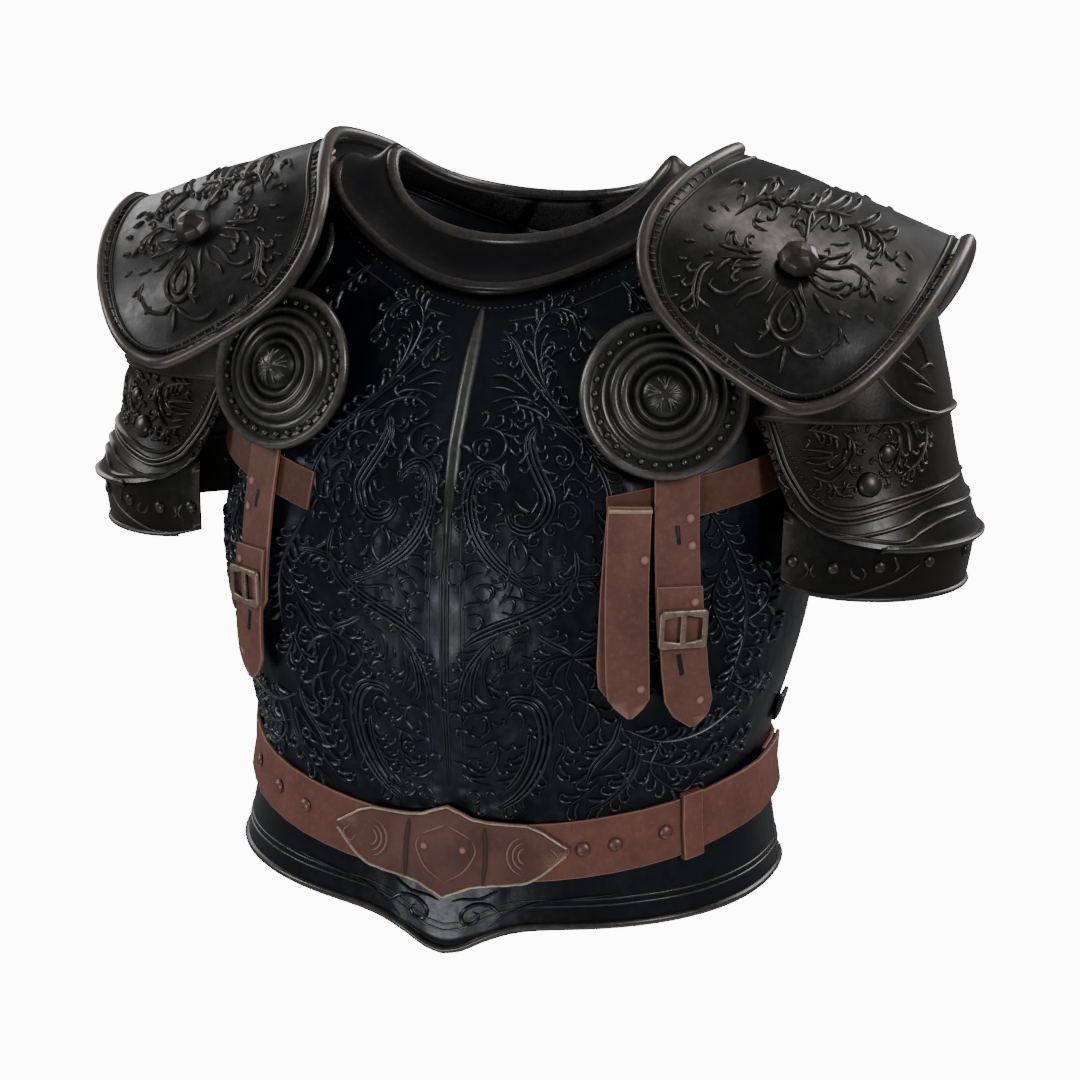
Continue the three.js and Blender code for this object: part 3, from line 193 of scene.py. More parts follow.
# Cap ornament on the left front lobe: points as x and z in mm
CAP_STROKES: tuple[StrokeRow, ...] = (
    (2.0, 1, ((194, -24), (206, -26), (218, -23))),
    (2.2, 1, ((196, -28), (208, -31), (218, -30), (224, -33), (234, -40))),
    (2.0, 1, ((196, -31), (205, -36), (216, -38))),
    (2.2, 1, ((196, -34), (204, -41), (213, -45), (218, -48))),
    (2.0, 1, ((192, -38), (195, -45), (199, -52))),
    (2.2, 1, ((169, -23), (157, -22), (144, -19))),
    (2.0, 1, ((169, -26), (158, -26), (148, -26))),
    (2.0, 1, ((170, -30), (161, -31), (152, -30))),
    (2.2, 1, ((173, -36), (164, -39), (156, -45), (148, -45), (143, -41), (145, -37))),
    (2.2, 1, ((177, -37), (172, -44), (164, -47), (160, -52))),
    (1.8, 1, ((181, -38), (179, -45), (176, -51))),
    (2.4, 1, ((189, -42), (182, -51), (180, -60), (184, -67), (190, -70), (196, -67), (199, -60), (196, -51),
        (189, -42))),
    (2.2, 1, ((189, -48), (185, -56), (186, -62), (190, -65), (194, -62), (195, -56), (189, -48))),
    (2.2, 1, ((191, -19), (190, -11), (189, -4), (195, -2), (211, -5))),
    (2.4, 1, ((210, -9), (217, -11), (222, -18), (222, -21))),
    (1.8, 1, ((204, -19), (211, -19), (215, -18))),
    (2.4, 1, ((149, -4), (156, 2), (165, 5), (172, 1), (178, 3), (182, 0), (200, -1))),
    (1.8, 1, ((159, -6), (162, -10), (169, -12))),
    (1.6, 1, ((133, -9), (140, -12))),
    (1.6, 1, ((133, 1), (138, -2))),
    (1.6, 1, ((139, 3), (146, -2))),
    (4.4, 2, ((143, -29), (137, -34), (136, -46), (138, -55))),
    (1.6, 1, ((137, -26), (140, -24), (143, -25))),
    (2.0, 1, ((135, -47), (141, -51), (146, -54))),
    (2.0, 1, ((140, -62), (140, -69), (146, -74))),
    (1.8, 1, ((150, -62), (152, -69))),
    (1.8, 1, ((228, -40), (233, -44), (236, -49))),
    (1.8, 1, ((215, -53), (224, -58))),
    (2.0, 1, ((201, -44), (208, -52), (212, -55))),
    (1.8, 1, ((218, -62), (220, -69), (217, -73))),
    (2.4, 1, ((188, -72), (182, -77), (174, -79), (166, -77), (161, -72))),
    (2.2, 1, ((190, -73), (190, -81), (189, -88))),
    (2.4, 1, ((192, -72), (198, -77), (206, -78), (213, -75), (217, -69))),
    (2.2, 1, ((175, -70), (180, -64), (177, -58))),
    (1.8, 1, ((208, -12), (211, -11), (209, -9))),
    (1.8, 1, ((235, -30), (230, -28), (229, -32))),
    (1.6, 1, ((241, -28), (248, -33))),
    (1.6, 1, ((245, -23), (251, -28))),
    (2.0, 1, ((216, -10), (225, -13), (233, -20), (233, -26))),
    (2.0, 1, ((162, -1), (161, -6), (166, -7))),
    (2.0, 1, ((140, 11), (143, 14), (148, 12), (147, 9))),
    (2.0, 1, ((156, 14), (163, 15), (169, 11))),
    (1.6, 1, ((124, -17), (131, -18))),
    (1.6, 1, ((123, -27), (129, -28))),
    (1.6, 1, ((121, -38), (127, -37))),
    (1.6, 1, ((121, -49), (127, -47))),
    (1.6, 1, ((158, -85), (159, -79))),
    (1.6, 1, ((212, -80), (208, -74))),
    (1.6, 1, ((225, -71), (221, -66))),
    (1.6, 1, ((236, -60), (231, -56))),
    (1.6, 1, ((245, -49), (239, -46))),
    (1.6, 1, ((250, -39), (244, -37))),
    (2.0, 1, ((182, -60), (178, -66), (173, -65))),
)
# Arm plate ornament: points as degrees round the arm and z in mm
ARM_STROKES: tuple[StrokeRow, ...] = (
    (2.6, 1, ((-59, -100), (-57, -107), (-53, -111), (-53, -118), (-58, -122), (-62, -118), (-62, -111),
        (-59, -107), (-59, -102))),
    (2.2, 1, ((-58, -110), (-57, -114), (-59, -118))),
    (2.4, 1, ((-83, -127), (-77, -128), (-72, -130), (-68, -134))),
    (2.4, 1, ((-85, -139), (-79, -139), (-73, -140), (-72, -141), (-73, -143), (-84, -144))),
    (2.4, 1, ((-83, -146), (-76, -147), (-69, -141))),
    (2.4, 1, ((-80, -150), (-73, -152), (-66, -144))),
    (2.4, 1, ((-80, -154), (-72, -157), (-65, -147))),
    (2.4, 1, ((-72, -157), (-68, -165), (-65, -157))),
    (2.6, 1, ((-68, -128), (-64, -133), (-63, -140), (-65, -148), (-62, -155))),
    (2.6, 1, ((-51, -134), (-53, -130), (-49, -125), (-44, -129), (-43, -138), (-46, -148), (-49, -152),
        (-52, -147), (-53, -140))),
    (2.2, 1, ((-51, -138), (-50, -143), (-48, -147))),
    (2.6, 1, ((-47, -118), (-40, -126), (-38, -134), (-38, -143))),
    (2.6, 1, ((-43, -119), (-35, -124), (-34, -134))),
    (2.8, 1, ((-28, -127), (-30, -138), (-35, -148), (-44, -156))),
    (2.4, 1, ((-53, -151), (-51, -154), (-47, -155))),
    (2.2, 1, ((-93, -153), (-91, -159), (-87, -164))),
    (5.0, 2, ((-101, -109), (-98, -121), (-94, -136), (-90, -150), (-85, -162), (-79, -173),
        (-71, -179), (-65, -180), (-58, -178), (-47, -174), (-33, -169), (-17, -164))),
    (2.6, 1, ((-80, -165), (-72, -172), (-62, -173), (-50, -169), (-32, -165), (-3, -161))),
    (2.6, 1, ((-82, -179), (-74, -187), (-65, -189), (-55, -187), (-44, -183), (-29, -176), (11, -176))),
    (2.6, 1, ((-77, -185), (-48, -193), (-38, -188), (-27, -183), (-9, -182))),
)
# Upper lame ornament, as on the arm plate
UPPER_LAME_STROKES: tuple[StrokeRow, ...] = (
    (3.4, 1, ((-59, -82), (-52, -98), (-42, -111), (-31, -118), (-14, -122))),
    (2.4, 1, ((-48, -72), (-43, -81), (-35, -88))),
    (2.4, 1, ((-43, -68), (-40, -75), (-35, -77))),
    (2.4, 1, ((-43, -87), (-32, -97), (-23, -106))),
    (2.4, 1, ((-36, -101), (-30, -103), (-21, -109))),
    (2.2, 1, ((-37, -64), (-27, -78), (-24, -91))),
    (2.2, 1, ((-32, -94), (-24, -91), (-18, -94))),
)
# Lower lame ornament, as on the arm plate
LOWER_LAME_STROKES: tuple[StrokeRow, ...] = (
    (2.4, 1, ((-81, -205), (-79, -211), (-81, -216))),
    (2.4, 1, ((-77, -206), (-78, -212), (-76, -215))),
    (2.2, 1, ((-64, -209), (-62, -214), (-59, -215))),
    (2.2, 1, ((-60, -208), (-58, -212), (-59, -216))),
    (2.2, 1, ((-48, -202), (-46, -209), (-48, -212))),
    (2.4, 1, ((-88, -220), (-77, -225), (-66, -226), (-57, -223), (-46, -217), (-37, -208))),
)
# Middle line of the left cap's rolled rim, in mm
CAP_RIM: tuple[Point3, ...] = (
    (276.5, 2.5, -19), (276, -18, -23.5), (273.5, -38.5, -31.5), (269, -58.5, -42.5), (262, -77.5, -56.5),
    (252.5, -94.5, -71), (240, -109.5, -86.5), (226.5, -120, -98.5), (211.5, -126.5, -105.5),
    (196, -131.5, -107),
    (180, -130.5, -100.5), (163, -130, -91), (146.5, -129, -81), (131, -127.5, -70), (117.5, -125.5, -57),
    (108.5, -122, -43), (103, -116.5, -28.5), (102, -108, -15), (104, -96, -3), (110, -80, 8.5),
    (117, -59.5, 18), (126, -30, 26), (131.5, 2.5, 30), (126, 35.5, 26), (117, 65, 18),
    (110, 85.5, 8.5), (104, 101.5, -3), (102, 113.5, -15), (103, 122, -28.5), (108.5, 127.5, -43),
    (117.5, 131, -57), (131, 133, -70), (146.5, 134.5, -81), (163, 135.5, -91), (180, 136, -100.5),
    (196, 137, -107), (211.5, 131.5, -105.5), (226.5, 125.5, -98.5), (240, 115, -86.5), (252.5, 100, -71),
    (262, 83, -56.5), (269, 64, -42.5), (273.5, 44, -31.5), (276, 23.5, -23.5),
)

# The comb's strokes point to this place, as x and z in mm, and reach this far in from the rim
COMB_MIDDLE: Point2 = (190, -45)
COMB_REACH = 8


def comb_places() -> list[Point2]:
    """Where the comb meets the front half of the cap's rim.

    Returns:
        Each point of the rim there and two places between it and the next, as x and z in whole mm.
    """
    front = [np.array((x, z)) for x, y, z in CAP_RIM if y < -15]
    shares = (0, 1 / 3, 2 / 3)
    return [tuple(np.round(a + (b - a) * share)) for a, b in zip(front, front[1:]) for share in shares]


# Shader nodes


class Value:
    """A number socket that takes part in arithmetic."""

    def __init__(self, pad: "Pad", socket: bpy.types.NodeSocket) -> None:
        """Wraps a socket of a pad.

        Args:
            pad: the pad that the socket is on.
            socket: the output to wrap.
        """
        self.pad = pad
        self.socket = socket

    def _with(self, operation: str, first: object, second: object) -> "Value":
        """Adds one Math node and returns its result."""
        sockets = {0: first, 1: second}
        return Value(self.pad, self.pad.node("ShaderNodeMath", {"operation": operation}, sockets))

    def __add__(self, other: object) -> "Value":
        """Self plus other."""
        return self._with("ADD", self, other)

    __radd__ = __add__

    def __mul__(self, other: object) -> "Value":
        """Self times other."""
        return self._with("MULTIPLY", self, other)

    __rmul__ = __mul__

    def clamped(self) -> "Value":
        """Self kept between 0 and 1."""
        return Value(self.pad, self.pad.node("ShaderNodeClamp", {}, {0: self}))


class Pad:
    """A material's node tree, with one way to add any node."""

    def __init__(self, name: str) -> None:
        """Starts an empty material.

        Args:
            name: the material's name.
        """
        self.material = bpy.data.materials.new(name)
        self.material.use_nodes = True
        self.tree = self.material.node_tree
        self.tree.nodes.clear()

    def node(self, kind: str, settings: dict, sockets: dict, output: int | str = 0) -> bpy.types.NodeSocket:
        """Adds a node.

        Args:
            kind: the node's type.
            settings: properties to set first; a ramp's stops are given as "stops".
            sockets: input name or place to a value, a Value or a socket.
            output: which output to return.

        Returns:
            The output socket.
        """
        made = self.tree.nodes.new(kind)
        for key, value in settings.items():
            if key == "stops":
                ramp = made.color_ramp
                while len(ramp.elements) < len(value):
                    ramp.elements.new(0.5)
                for element, (place, shade) in zip(ramp.elements, value):
                    element.position = place
                    element.color = (shade, shade, shade, 1)
            else:
                setattr(made, key, value)
        for key, value in sockets.items():
            if isinstance(value, Value):
                value = value.socket
            if isinstance(value, bpy.types.NodeSocket):
                self.tree.links.new(value, made.inputs[key])
            else:
                made.inputs[key].default_value = value
        return made.outputs[output]

    def place(self) -> bpy.types.NodeSocket:
        """Object coordinates."""
        return self.node("ShaderNodeTexCoord", {}, {}, "Object")

    def noise(self, scale: float, detail: float = 3.0, rough: float = 0.55) -> Value:
        """Noise from 0 to 1.

        Args:
            scale: turns per metre.
            detail: octaves.
            rough: how strong the finer octaves are.
        """
        sockets = {"Vector": self.place(), "Scale": scale, "Detail": detail, "Roughness": rough}
        return Value(self, self.node("ShaderNodeTexNoise", {}, sockets, "Fac"))

    def cells(self, scale: float, feature: str = "F1") -> Value:
        """Distance from cell points, for grain and pits."""
        sockets = {"Vector": self.place(), "Scale": scale}
        return Value(self, self.node("ShaderNodeTexVoronoi", {"feature": feature}, sockets, "Distance"))

    def attribute(self, name: str) -> Value:
        """A float attribute of the mesh."""
        return Value(self, self.node("ShaderNodeAttribute", {"attribute_name": name}, {}, "Fac"))

    def ramp(self, value: Value, stops: Sequence[Point2]) -> Value:
        """A value through a ramp of greys."""
        return Value(self, self.node("ShaderNodeValToRGB", {"stops": stops}, {0: value}))

    def blend(self, factor: object, first: object, second: object) -> bpy.types.NodeSocket:
        """Mixes two colours.

        Args:
            factor: how much of the second shows.
            first, second: each a colour or a socket.

        Returns:
            The mixed colour.
        """
        first, second = ((*c, 1.0) if isinstance(c, tuple) else c for c in (first, second))
        return self.node("ShaderNodeMix", {"data_type": "RGBA"}, {0: factor, 6: first, 7: second}, 2)

    def bump(self, height: Value, strength: float, distance: float) -> bpy.types.NodeSocket:
        """A bumped normal from a height in millimetres."""
        sockets = {"Height": height, "Strength": strength, "Distance": distance * MM}
        return self.node("ShaderNodeBump", {}, sockets)

    def close(self, sockets: dict) -> bpy.types.Material:
        """Adds the surface shader and the output.

        Args:
            sockets: the shader's inputs.

        Returns:
            The finished material.
        """
        shader = self.node("ShaderNodeBsdfPrincipled", {}, sockets)
        self.node_output(shader)
        return self.material

    def node_output(self, shader: bpy.types.NodeSocket) -> None:
        """Links a shader to the output."""
        end = self.tree.nodes.new("ShaderNodeOutputMaterial")
        self.tree.links.new(shader, end.inputs["Surface"])


@dataclass(frozen=True)
class BlackSteel:
    """Blackened steel, brightened by rubbing and by painted sheen where the attribute worn is high.

    Attributes:
        name: the material's name.
        dark: the blackened colour.
        tint: the second, slightly lighter tone of its clouds.
        worn: the colour of places brightened by rubbing and by painted sheen.
        shine: the least roughness.
    """

    name: str
    dark: Point3
    tint: Point3
    worn: Point3
    shine: float

    def build(self) -> bpy.types.Material:
        """Makes the material.

        Returns:
            The material.
        """
        pad = Pad(self.name)
        clouds = pad.ramp(pad.noise(14, 4), ((0.35, 0.0), (0.7, 1.0)))
        scuffs = pad.ramp(pad.noise(160, 5, 0.7), ((0.42, 0.0), (0.72, 1.0)))
        # Painted sheen: where the attribute is high the colour turns to the bright colour, partly for rubbing
        # and partly as a painted highlight.
        wear_and_sheen_mask = (pad.attribute("worn") * (0.72 + scuffs * 0.5)).clamped()
        ground = pad.blend(clouds, self.dark, self.tint)
        color = pad.blend(wear_and_sheen_mask, ground, self.worn)
        rough = (self.shine + clouds * 0.1 + scuffs * 0.12).clamped()
        pits = pad.cells(420) * 0.5 + pad.noise(900, 2) * 0.35 + pad.noise(60, 3) * 0.6
        return pad.close({
            "Base Color": color,
            "Metallic": 0.45,
            "Specular IOR Level": 0.62,
            "Roughness": rough,
            "Normal": pad.bump(pits, 0.22, 0.25),
        })


@dataclass(frozen=True)
class Hide:
    """Leather with grain, handling marks and darker or paler edges; the pale edges are partly rubbing and
    partly painted sheen.

    Attributes:
        name: the material's name.
        face: the main colour.
        deep: the colour of its darker clouds.
        edge: the colour where the attribute worn is high, partly rubbing and partly painted sheen.
    """

    name: str
    face: Point3
    deep: Point3
    edge: Point3

    def build(self) -> bpy.types.Material:
        """Makes the material.

        Returns:
            The material.
        """
        pad = Pad(self.name)
        clouds = pad.ramp(pad.noise(38, 4, 0.6), ((0.3, 0.0), (0.72, 1.0)))
        marks = pad.ramp(pad.noise(260, 3, 0.7), ((0.5, 0.0), (0.78, 1.0)))
        color = pad.blend(clouds, self.face, self.deep)
        color = pad.blend(marks * 0.16, color, self.edge)
        # Painted sheen: edges turn to the pale edge colour, partly for rubbing and partly as a painted
        # highlight.
        color = pad.blend(pad.attribute("worn").clamped(), color, self.edge)
        grain = pad.cells(950) * 0.8 + pad.cells(2100) * 0.4 + pad.noise(120, 4) * 0.7
        return pad.close({
            "Base Color": color,
            "Roughness": (0.62 + clouds * 0.12 + marks * 0.08).clamped(),
            "Specular IOR Level": 0.35,
            "Normal": pad.bump(grain, 0.4, 0.35),
        })


@dataclass(frozen=True)
class PaleMetal:
    """Aged pale fittings, brushed and a little stained.

    Attributes:
        name: the material's name.
        bright: the rubbed colour.
        stain: the colour of its stains.
    """

    name: str
    bright: Point3
    stain: Point3

    def build(self) -> bpy.types.Material:
        """Makes the material.

        Returns:
            The material.
        """
        pad = Pad(self.name)
        stains = pad.ramp(pad.noise(220, 4, 0.65), ((0.45, 0.0), (0.75, 1.0)))
        return pad.close({
            "Base Color": pad.blend(stains, self.bright, self.stain),
            "Metallic": 0.55,
            "Roughness": (0.4 + stains * 0.25).clamped(),
            "Normal": pad.bump(pad.noise(800, 3), 0.25, 0.2),
        })


@dataclass(frozen=True)
class PaleGround:
    """The plain pale floor."""

    name: str = "pale_floor"

    def build(self) -> bpy.types.Material:
        """Makes the material.

        Returns:
            The material.
        """
        pad = Pad(self.name)
        tone = pad.blend(pad.noise(2) * 0.2, (0.9, 0.9, 0.9), (0.86, 0.86, 0.86))
        return pad.close({"Base Color": tone, "Roughness": 0.9})


class Finish(Enum):
    """The finishes, by what they are on."""

    CHEST = BlackSteel("blued_chest_steel", (0.0028, 0.0042, 0.008), (0.006, 0.009, 0.017),
                       (0.03, 0.034, 0.04), 0.25)
    COLLAR = BlackSteel("collar_steel", (0.0045, 0.0045, 0.007), (0.009, 0.009, 0.011),
                        (0.085, 0.08, 0.07), 0.22)
    SHOULDER = BlackSteel("shoulder_steel", (0.005, 0.005, 0.005), (0.01, 0.0095, 0.009),
                          (0.07, 0.065, 0.059), 0.3)
    # The roundels' bright colour is partly rubbing and partly a painted highlight on their rims.
    DISC = BlackSteel("roundel_steel", (0.0055, 0.0058, 0.0058), (0.011, 0.0115, 0.0115),
                      (0.125, 0.12, 0.11), 0.25)
    # The ridge's bright colour is partly rubbing and partly a painted highlight.
    RIDGE = BlackSteel("ridge_steel_rubbed_and_highlit", (0.005, 0.006, 0.008), (0.01, 0.012, 0.015),
                       (0.11, 0.108, 0.1), 0.26)
    # The cap rims are lighter all over, partly rubbing and partly a painted highlight.
    RIM = BlackSteel("rim_steel_rubbed_and_highlit", (0.03, 0.028, 0.026), (0.05, 0.045, 0.041),
                     (0.14, 0.125, 0.11), 0.27)
    ARM = BlackSteel("arm_steel", (0.005, 0.0045, 0.0042), (0.017, 0.0125, 0.0095),
                     (0.06, 0.054, 0.048), 0.28)
    LEATHER = Hide("reddish_leather", (0.18, 0.078, 0.06), (0.11, 0.047, 0.036), (0.42, 0.25, 0.2))
    BELT = Hide("belt_leather", (0.19, 0.076, 0.058), (0.125, 0.05, 0.038), (0.4, 0.23, 0.18))
    INNER = Hide("inner_leather", (0.11, 0.042, 0.026), (0.07, 0.027, 0.017), (0.3, 0.16, 0.12))
    PLATE = Hide("plate_leather", (0.14, 0.062, 0.05), (0.085, 0.037, 0.03), (0.3, 0.17, 0.14))
    DEEP = Hide("dark_leather", (0.05, 0.02, 0.016), (0.03, 0.013, 0.01), (0.07, 0.03, 0.024))
    PALE = PaleMetal("pale_fittings", (0.3, 0.225, 0.175), (0.11, 0.07, 0.05))
    EDGE = PaleMetal("pale_edge_line", (0.5, 0.4, 0.31), (0.24, 0.17, 0.125))
    RIVET = PaleMetal("leather_rivets", (0.2, 0.11, 0.085), (0.09, 0.045, 0.034))


_MADE: dict[str, bpy.types.Material] = {}


def made(finish: Finish) -> bpy.types.Material:
    """The material of a finish, built once."""
    if finish.name not in _MADE:
        _MADE[finish.name] = finish.value.build()
    return _MADE[finish.name]


# Meshes


def only(obj: Piece) -> None:
    """Selects one object alone and makes it active.

    Args:
        obj: the object.
    """
    bpy.ops.object.select_all(action="DESELECT")
    obj.select_set(True)
    bpy.context.view_layer.objects.active = obj


def apply_modifier(obj: Piece, kind: str, **settings: object) -> None:
    """Adds a modifier and applies it.

    Args:
        obj: the piece.
        kind: the modifier's type.
        settings: its properties.
    """
    only(obj)
    modifier = obj.modifiers.new(kind.title(), kind)
    for key, value in settings.items():
        setattr(modifier, key, value)
    bpy.ops.object.modifier_apply(modifier=modifier.name)


def merged_copy(node: str, name: str) -> Piece:
    """A copy of a CAD node whose loose triangles are merged and paired to quads.

    Args:
        node: the CAD node.
        name: the new piece's name.

    Returns:
        The piece, at the origin.
    """
    obj = bpy.data.objects.new(name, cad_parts[node].data.copy())
    bpy.context.scene.collection.objects.link(obj)
    obj.data.materials.clear()
    only(obj)
    bpy.ops.object.mode_set(mode="EDIT")
    bpy.ops.mesh.select_all(action="SELECT")
    bpy.ops.mesh.remove_doubles(threshold=0.00002)
    bpy.ops.mesh.tris_convert_to_quads(face_threshold=math.radians(30), shape_threshold=math.radians(80))
    bpy.ops.object.mode_set(mode="OBJECT")
    return obj


def rounded(obj: Piece, width: float, degrees: float) -> None:
    """Rounds a piece's edges.

    Args:
        obj: the piece.
        width: how wide the rounding is, in metres.
        degrees: the least bend of an edge that is rounded.
    """
    apply_modifier(obj, "BEVEL", width=width, segments=3, limit_method="ANGLE",
                   angle_limit=math.radians(degrees))


def crease_corners(obj: Piece, degrees: float) -> None:
    """Creases each edge that bends by more than an angle, so subdivision keeps it.

    Args:
        obj: the piece.
        degrees: the angle.
    """
    shape = bmesh.new()
    shape.from_mesh(obj.data)
    layer = shape.edges.layers.float.get("crease_edge") or shape.edges.layers.float.new("crease_edge")
    limit = math.radians(degrees)
    for edge in shape.edges:
        if edge.is_boundary or edge.calc_face_angle(0.0) > limit:
            edge[layer] = 1.0
    shape.to_mesh(obj.data)
    shape.free()


def points_of(obj: Piece) -> np.ndarray:
    """The vertices of a mesh.

    Args:
        obj: the piece.

    Returns:
        Rows of x, y and z.
    """
    flat = np.empty(len(obj.data.vertices) * 3)
    obj.data.vertices.foreach_get("co", flat)
    return flat.reshape(-1, 3)


def normals_of(obj: Piece) -> np.ndarray:
    """The vertex normals of a mesh.

    Args:
        obj: the piece.

    Returns:
        Rows of x, y and z.
    """
    flat = np.empty(len(obj.data.vertices) * 3)
    obj.data.vertices.foreach_get("normal", flat)
    return flat.reshape(-1, 3)


def move_points(obj: Piece, points: np.ndarray) -> None:
    """Sets the vertices of a mesh."""
    obj.data.vertices.foreach_set("co", points.ravel())
    obj.data.update()


def mark(obj: Piece, values: np.ndarray) -> None:
    """Stores each vertex's rubbing and painted sheen, from 0 to 1."""
    layer = obj.data.attributes.get("worn") or obj.data.attributes.new("worn", "FLOAT", "POINT")
    layer.data.foreach_set("value", np.clip(values, 0, 1).astype(np.float32))


def sharp_edge_sheen_and_rubbing(obj: Piece, degrees: float, level: float) -> None:
    """Marks the vertices at sharp edges with rubbing and painted sheen.

    Args:
        obj: the piece.
        degrees: the least bend that counts as sharp.
        level: how much rubbing and painted sheen they get.
    """
    shape = bmesh.new()
    shape.from_mesh(obj.data)
    values = np.zeros(len(shape.verts))
    for edge in shape.edges:
        if edge.is_manifold and edge.calc_face_angle(0.0) > math.radians(degrees):
            for vertex in edge.verts:
                values[vertex.index] = level
    shape.free()
    mark(obj, values)


def from_arrays(name: str, points: np.ndarray, faces: list[tuple[int, ...]],
                worn: np.ndarray) -> Piece:
    """A new piece from points and faces.

    Args:
        name: the piece's name.
        points: rows of x, y and z.
        faces: corners of each face.
        worn: how much rubbing and painted sheen each point has.

    Returns:
        The piece.
    """
    mesh = bpy.data.meshes.new(name)
    mesh.from_pydata([tuple(p) for p in points], [], faces)
    mesh.validate()
    obj = bpy.data.objects.new(name, mesh)
    bpy.context.scene.collection.objects.link(obj)
    if len(mesh.vertices) == len(worn):
        mark(obj, worn)
    return obj


def joined(first: Piece, others: Iterable[Piece]) -> Piece:
    """Several pieces made into one.

    Args:
        first: the piece that takes in the others.
        others: the pieces that it takes in.

    Returns:
        The first piece.
    """
    only(first)
    for other in others:
        other.select_set(True)
    bpy.ops.object.join()
    return first


def settle(obj: Piece, finish: Finish, slot: Slot = Slot.STEEL, smooth: float = 60,
           nodes: Sequence[str] = ()) -> None:
    """Shades, paints and places a finished piece.

    Args:
        obj: the piece.
        finish: what it is finished in.
        slot: the record's slot; not used.
        smooth: edges that bend by more degrees than this stay sharp.
        nodes: the CAD nodes that it stands for.
    """
    only(obj)
    bpy.ops.object.transform_apply(location=True, rotation=True, scale=True)
    bpy.ops.object.shade_smooth_by_angle(angle=math.radians(smooth))
    obj.data.materials.clear()
    obj.data.materials.append(made(finish))
    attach(obj, "root")
    if nodes:
        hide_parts(*nodes)
    LOG.info("piece %s: %d faces", obj.name, len(obj.data.polygons))


def turned(name: str, profile: Sequence[Point2], steps: int) -> Piece:
    """A piece turned round the Z axis with bpy's spin.

    Args:
        name: the piece's name.
        profile: radius and height from the top centre outwards.
        steps: how many steps make the full turn.

    Returns:
        The closed piece.
    """
    mesh = bpy.data.meshes.new(name)
    edges = [(i, i + 1) for i in range(len(profile) - 1)]
    mesh.from_pydata([(r, 0, z) for r, z in profile], edges, [])
    obj = bpy.data.objects.new(name, mesh)
    bpy.context.scene.collection.objects.link(obj)
    only(obj)
    bpy.ops.object.mode_set(mode="EDIT")
    bpy.ops.mesh.select_all(action="SELECT")
    bpy.ops.mesh.spin(steps=steps, angle=2 * math.pi, center=(0, 0, 0), axis=(0, 0, 1))
    bpy.ops.mesh.select_all(action="SELECT")
    bpy.ops.mesh.remove_doubles(threshold=0.00001)
    bpy.ops.mesh.normals_make_consistent(inside=False)
    bpy.ops.object.mode_set(mode="OBJECT")
    return obj


def bead_shape(radius: float, flat: float, subdivisions: int) -> Piece:
    """One small dome, made from an icosphere.

    Args:
        radius: its radius, in metres.
        flat: its height, as a share of its radius.
        subdivisions: how finely it is cut.

    Returns:
        The dome.
    """
    bpy.ops.object.select_all(action="DESELECT")
    bpy.ops.mesh.primitive_ico_sphere_add(subdivisions=subdivisions, radius=radius)
    obj = bpy.context.active_object
    obj.scale = (1, 1, flat)
    bpy.ops.object.transform_apply(location=False, rotation=False, scale=True)
    return obj


def strewn(name: str, seed: Piece, seats: Sequence[Seat],
           sizes: Sequence[float] = ()) -> Piece:
    """Copies of one small shape, set at seats and joined to one piece.

    Args:
        name: the piece's name.
        seed: the shape, which is removed.
        seats: place and normal of each copy.
        sizes: a scale for each copy.

    Returns:
        The piece.
    """
    shape = points_of(seed)
    faces = [tuple(p.vertices) for p in seed.data.polygons]
    # Painted highlight: each copy's crown is painted brighter, most at its top.
    crown_highlight = np.clip(shape[:, 2] / shape[:, 2].max(), 0, 1) ** 2
    points, corners, worn = [], [], []
    for index, (place, normal) in enumerate(seats):
        turn = np.array(normal.to_track_quat("Z", "Y").to_matrix())
        scale = sizes[index] if sizes else 1.0
        corners += [tuple(c + len(shape) * index for c in face) for face in faces]
        points.append(shape @ turn.T * scale + np.array(place))
        worn.append(crown_highlight)
    bpy.data.objects.remove(seed)
    return from_arrays(name, np.vstack(points), corners, np.concatenate(worn))


# Ornament laid on a surface


def tube(name: str, line: Sequence[Sequence[float]], radius: float, worn: float,
         sides: int = 12) -> Piece:
    """A closed round roll along a closed line.

    Args:
        name: its name.
        line: the middle line, in metres.
        radius: the roll's radius, in metres.
        worn: how much rubbing and painted sheen its outer side has.
        sides: how many points go round it.

    Returns:
        The roll.
    """
    path = np.array(line, float)
    count = len(path)
    along = np.roll(path, -1, axis=0) - np.roll(path, 1, axis=0)
    along /= np.linalg.norm(along, axis=1)[:, None]
    out = path - path.mean(0)
    out -= np.einsum("ij,ij->i", out, along)[:, None] * along
    out /= np.linalg.norm(out, axis=1)[:, None]
    across = np.cross(along, out)
    turns = np.linspace(0, 2 * math.pi, sides, endpoint=False)
    ring = path[:, None, :] + radius * (
        np.cos(turns)[None, :, None] * out[:, None, :] + np.sin(turns)[None, :, None] * across[:, None, :])
    faces = []
    for index in range(count):
        after = (index + 1) % count
        for column in range(sides):
            beside = (column + 1) % sides
            a, b = index * sides + column, index * sides + beside
            faces.append((a, b, after * sides + beside, after * sides + column))
    obj = from_arrays(name, ring.reshape(-1, 3), faces, np.full(count * sides, worn))
    only(obj)
    bpy.ops.object.mode_set(mode="EDIT")
    bpy.ops.mesh.select_all(action="SELECT")
    bpy.ops.mesh.normals_make_consistent(inside=False)
    bpy.ops.object.mode_set(mode="OBJECT")
    return obj


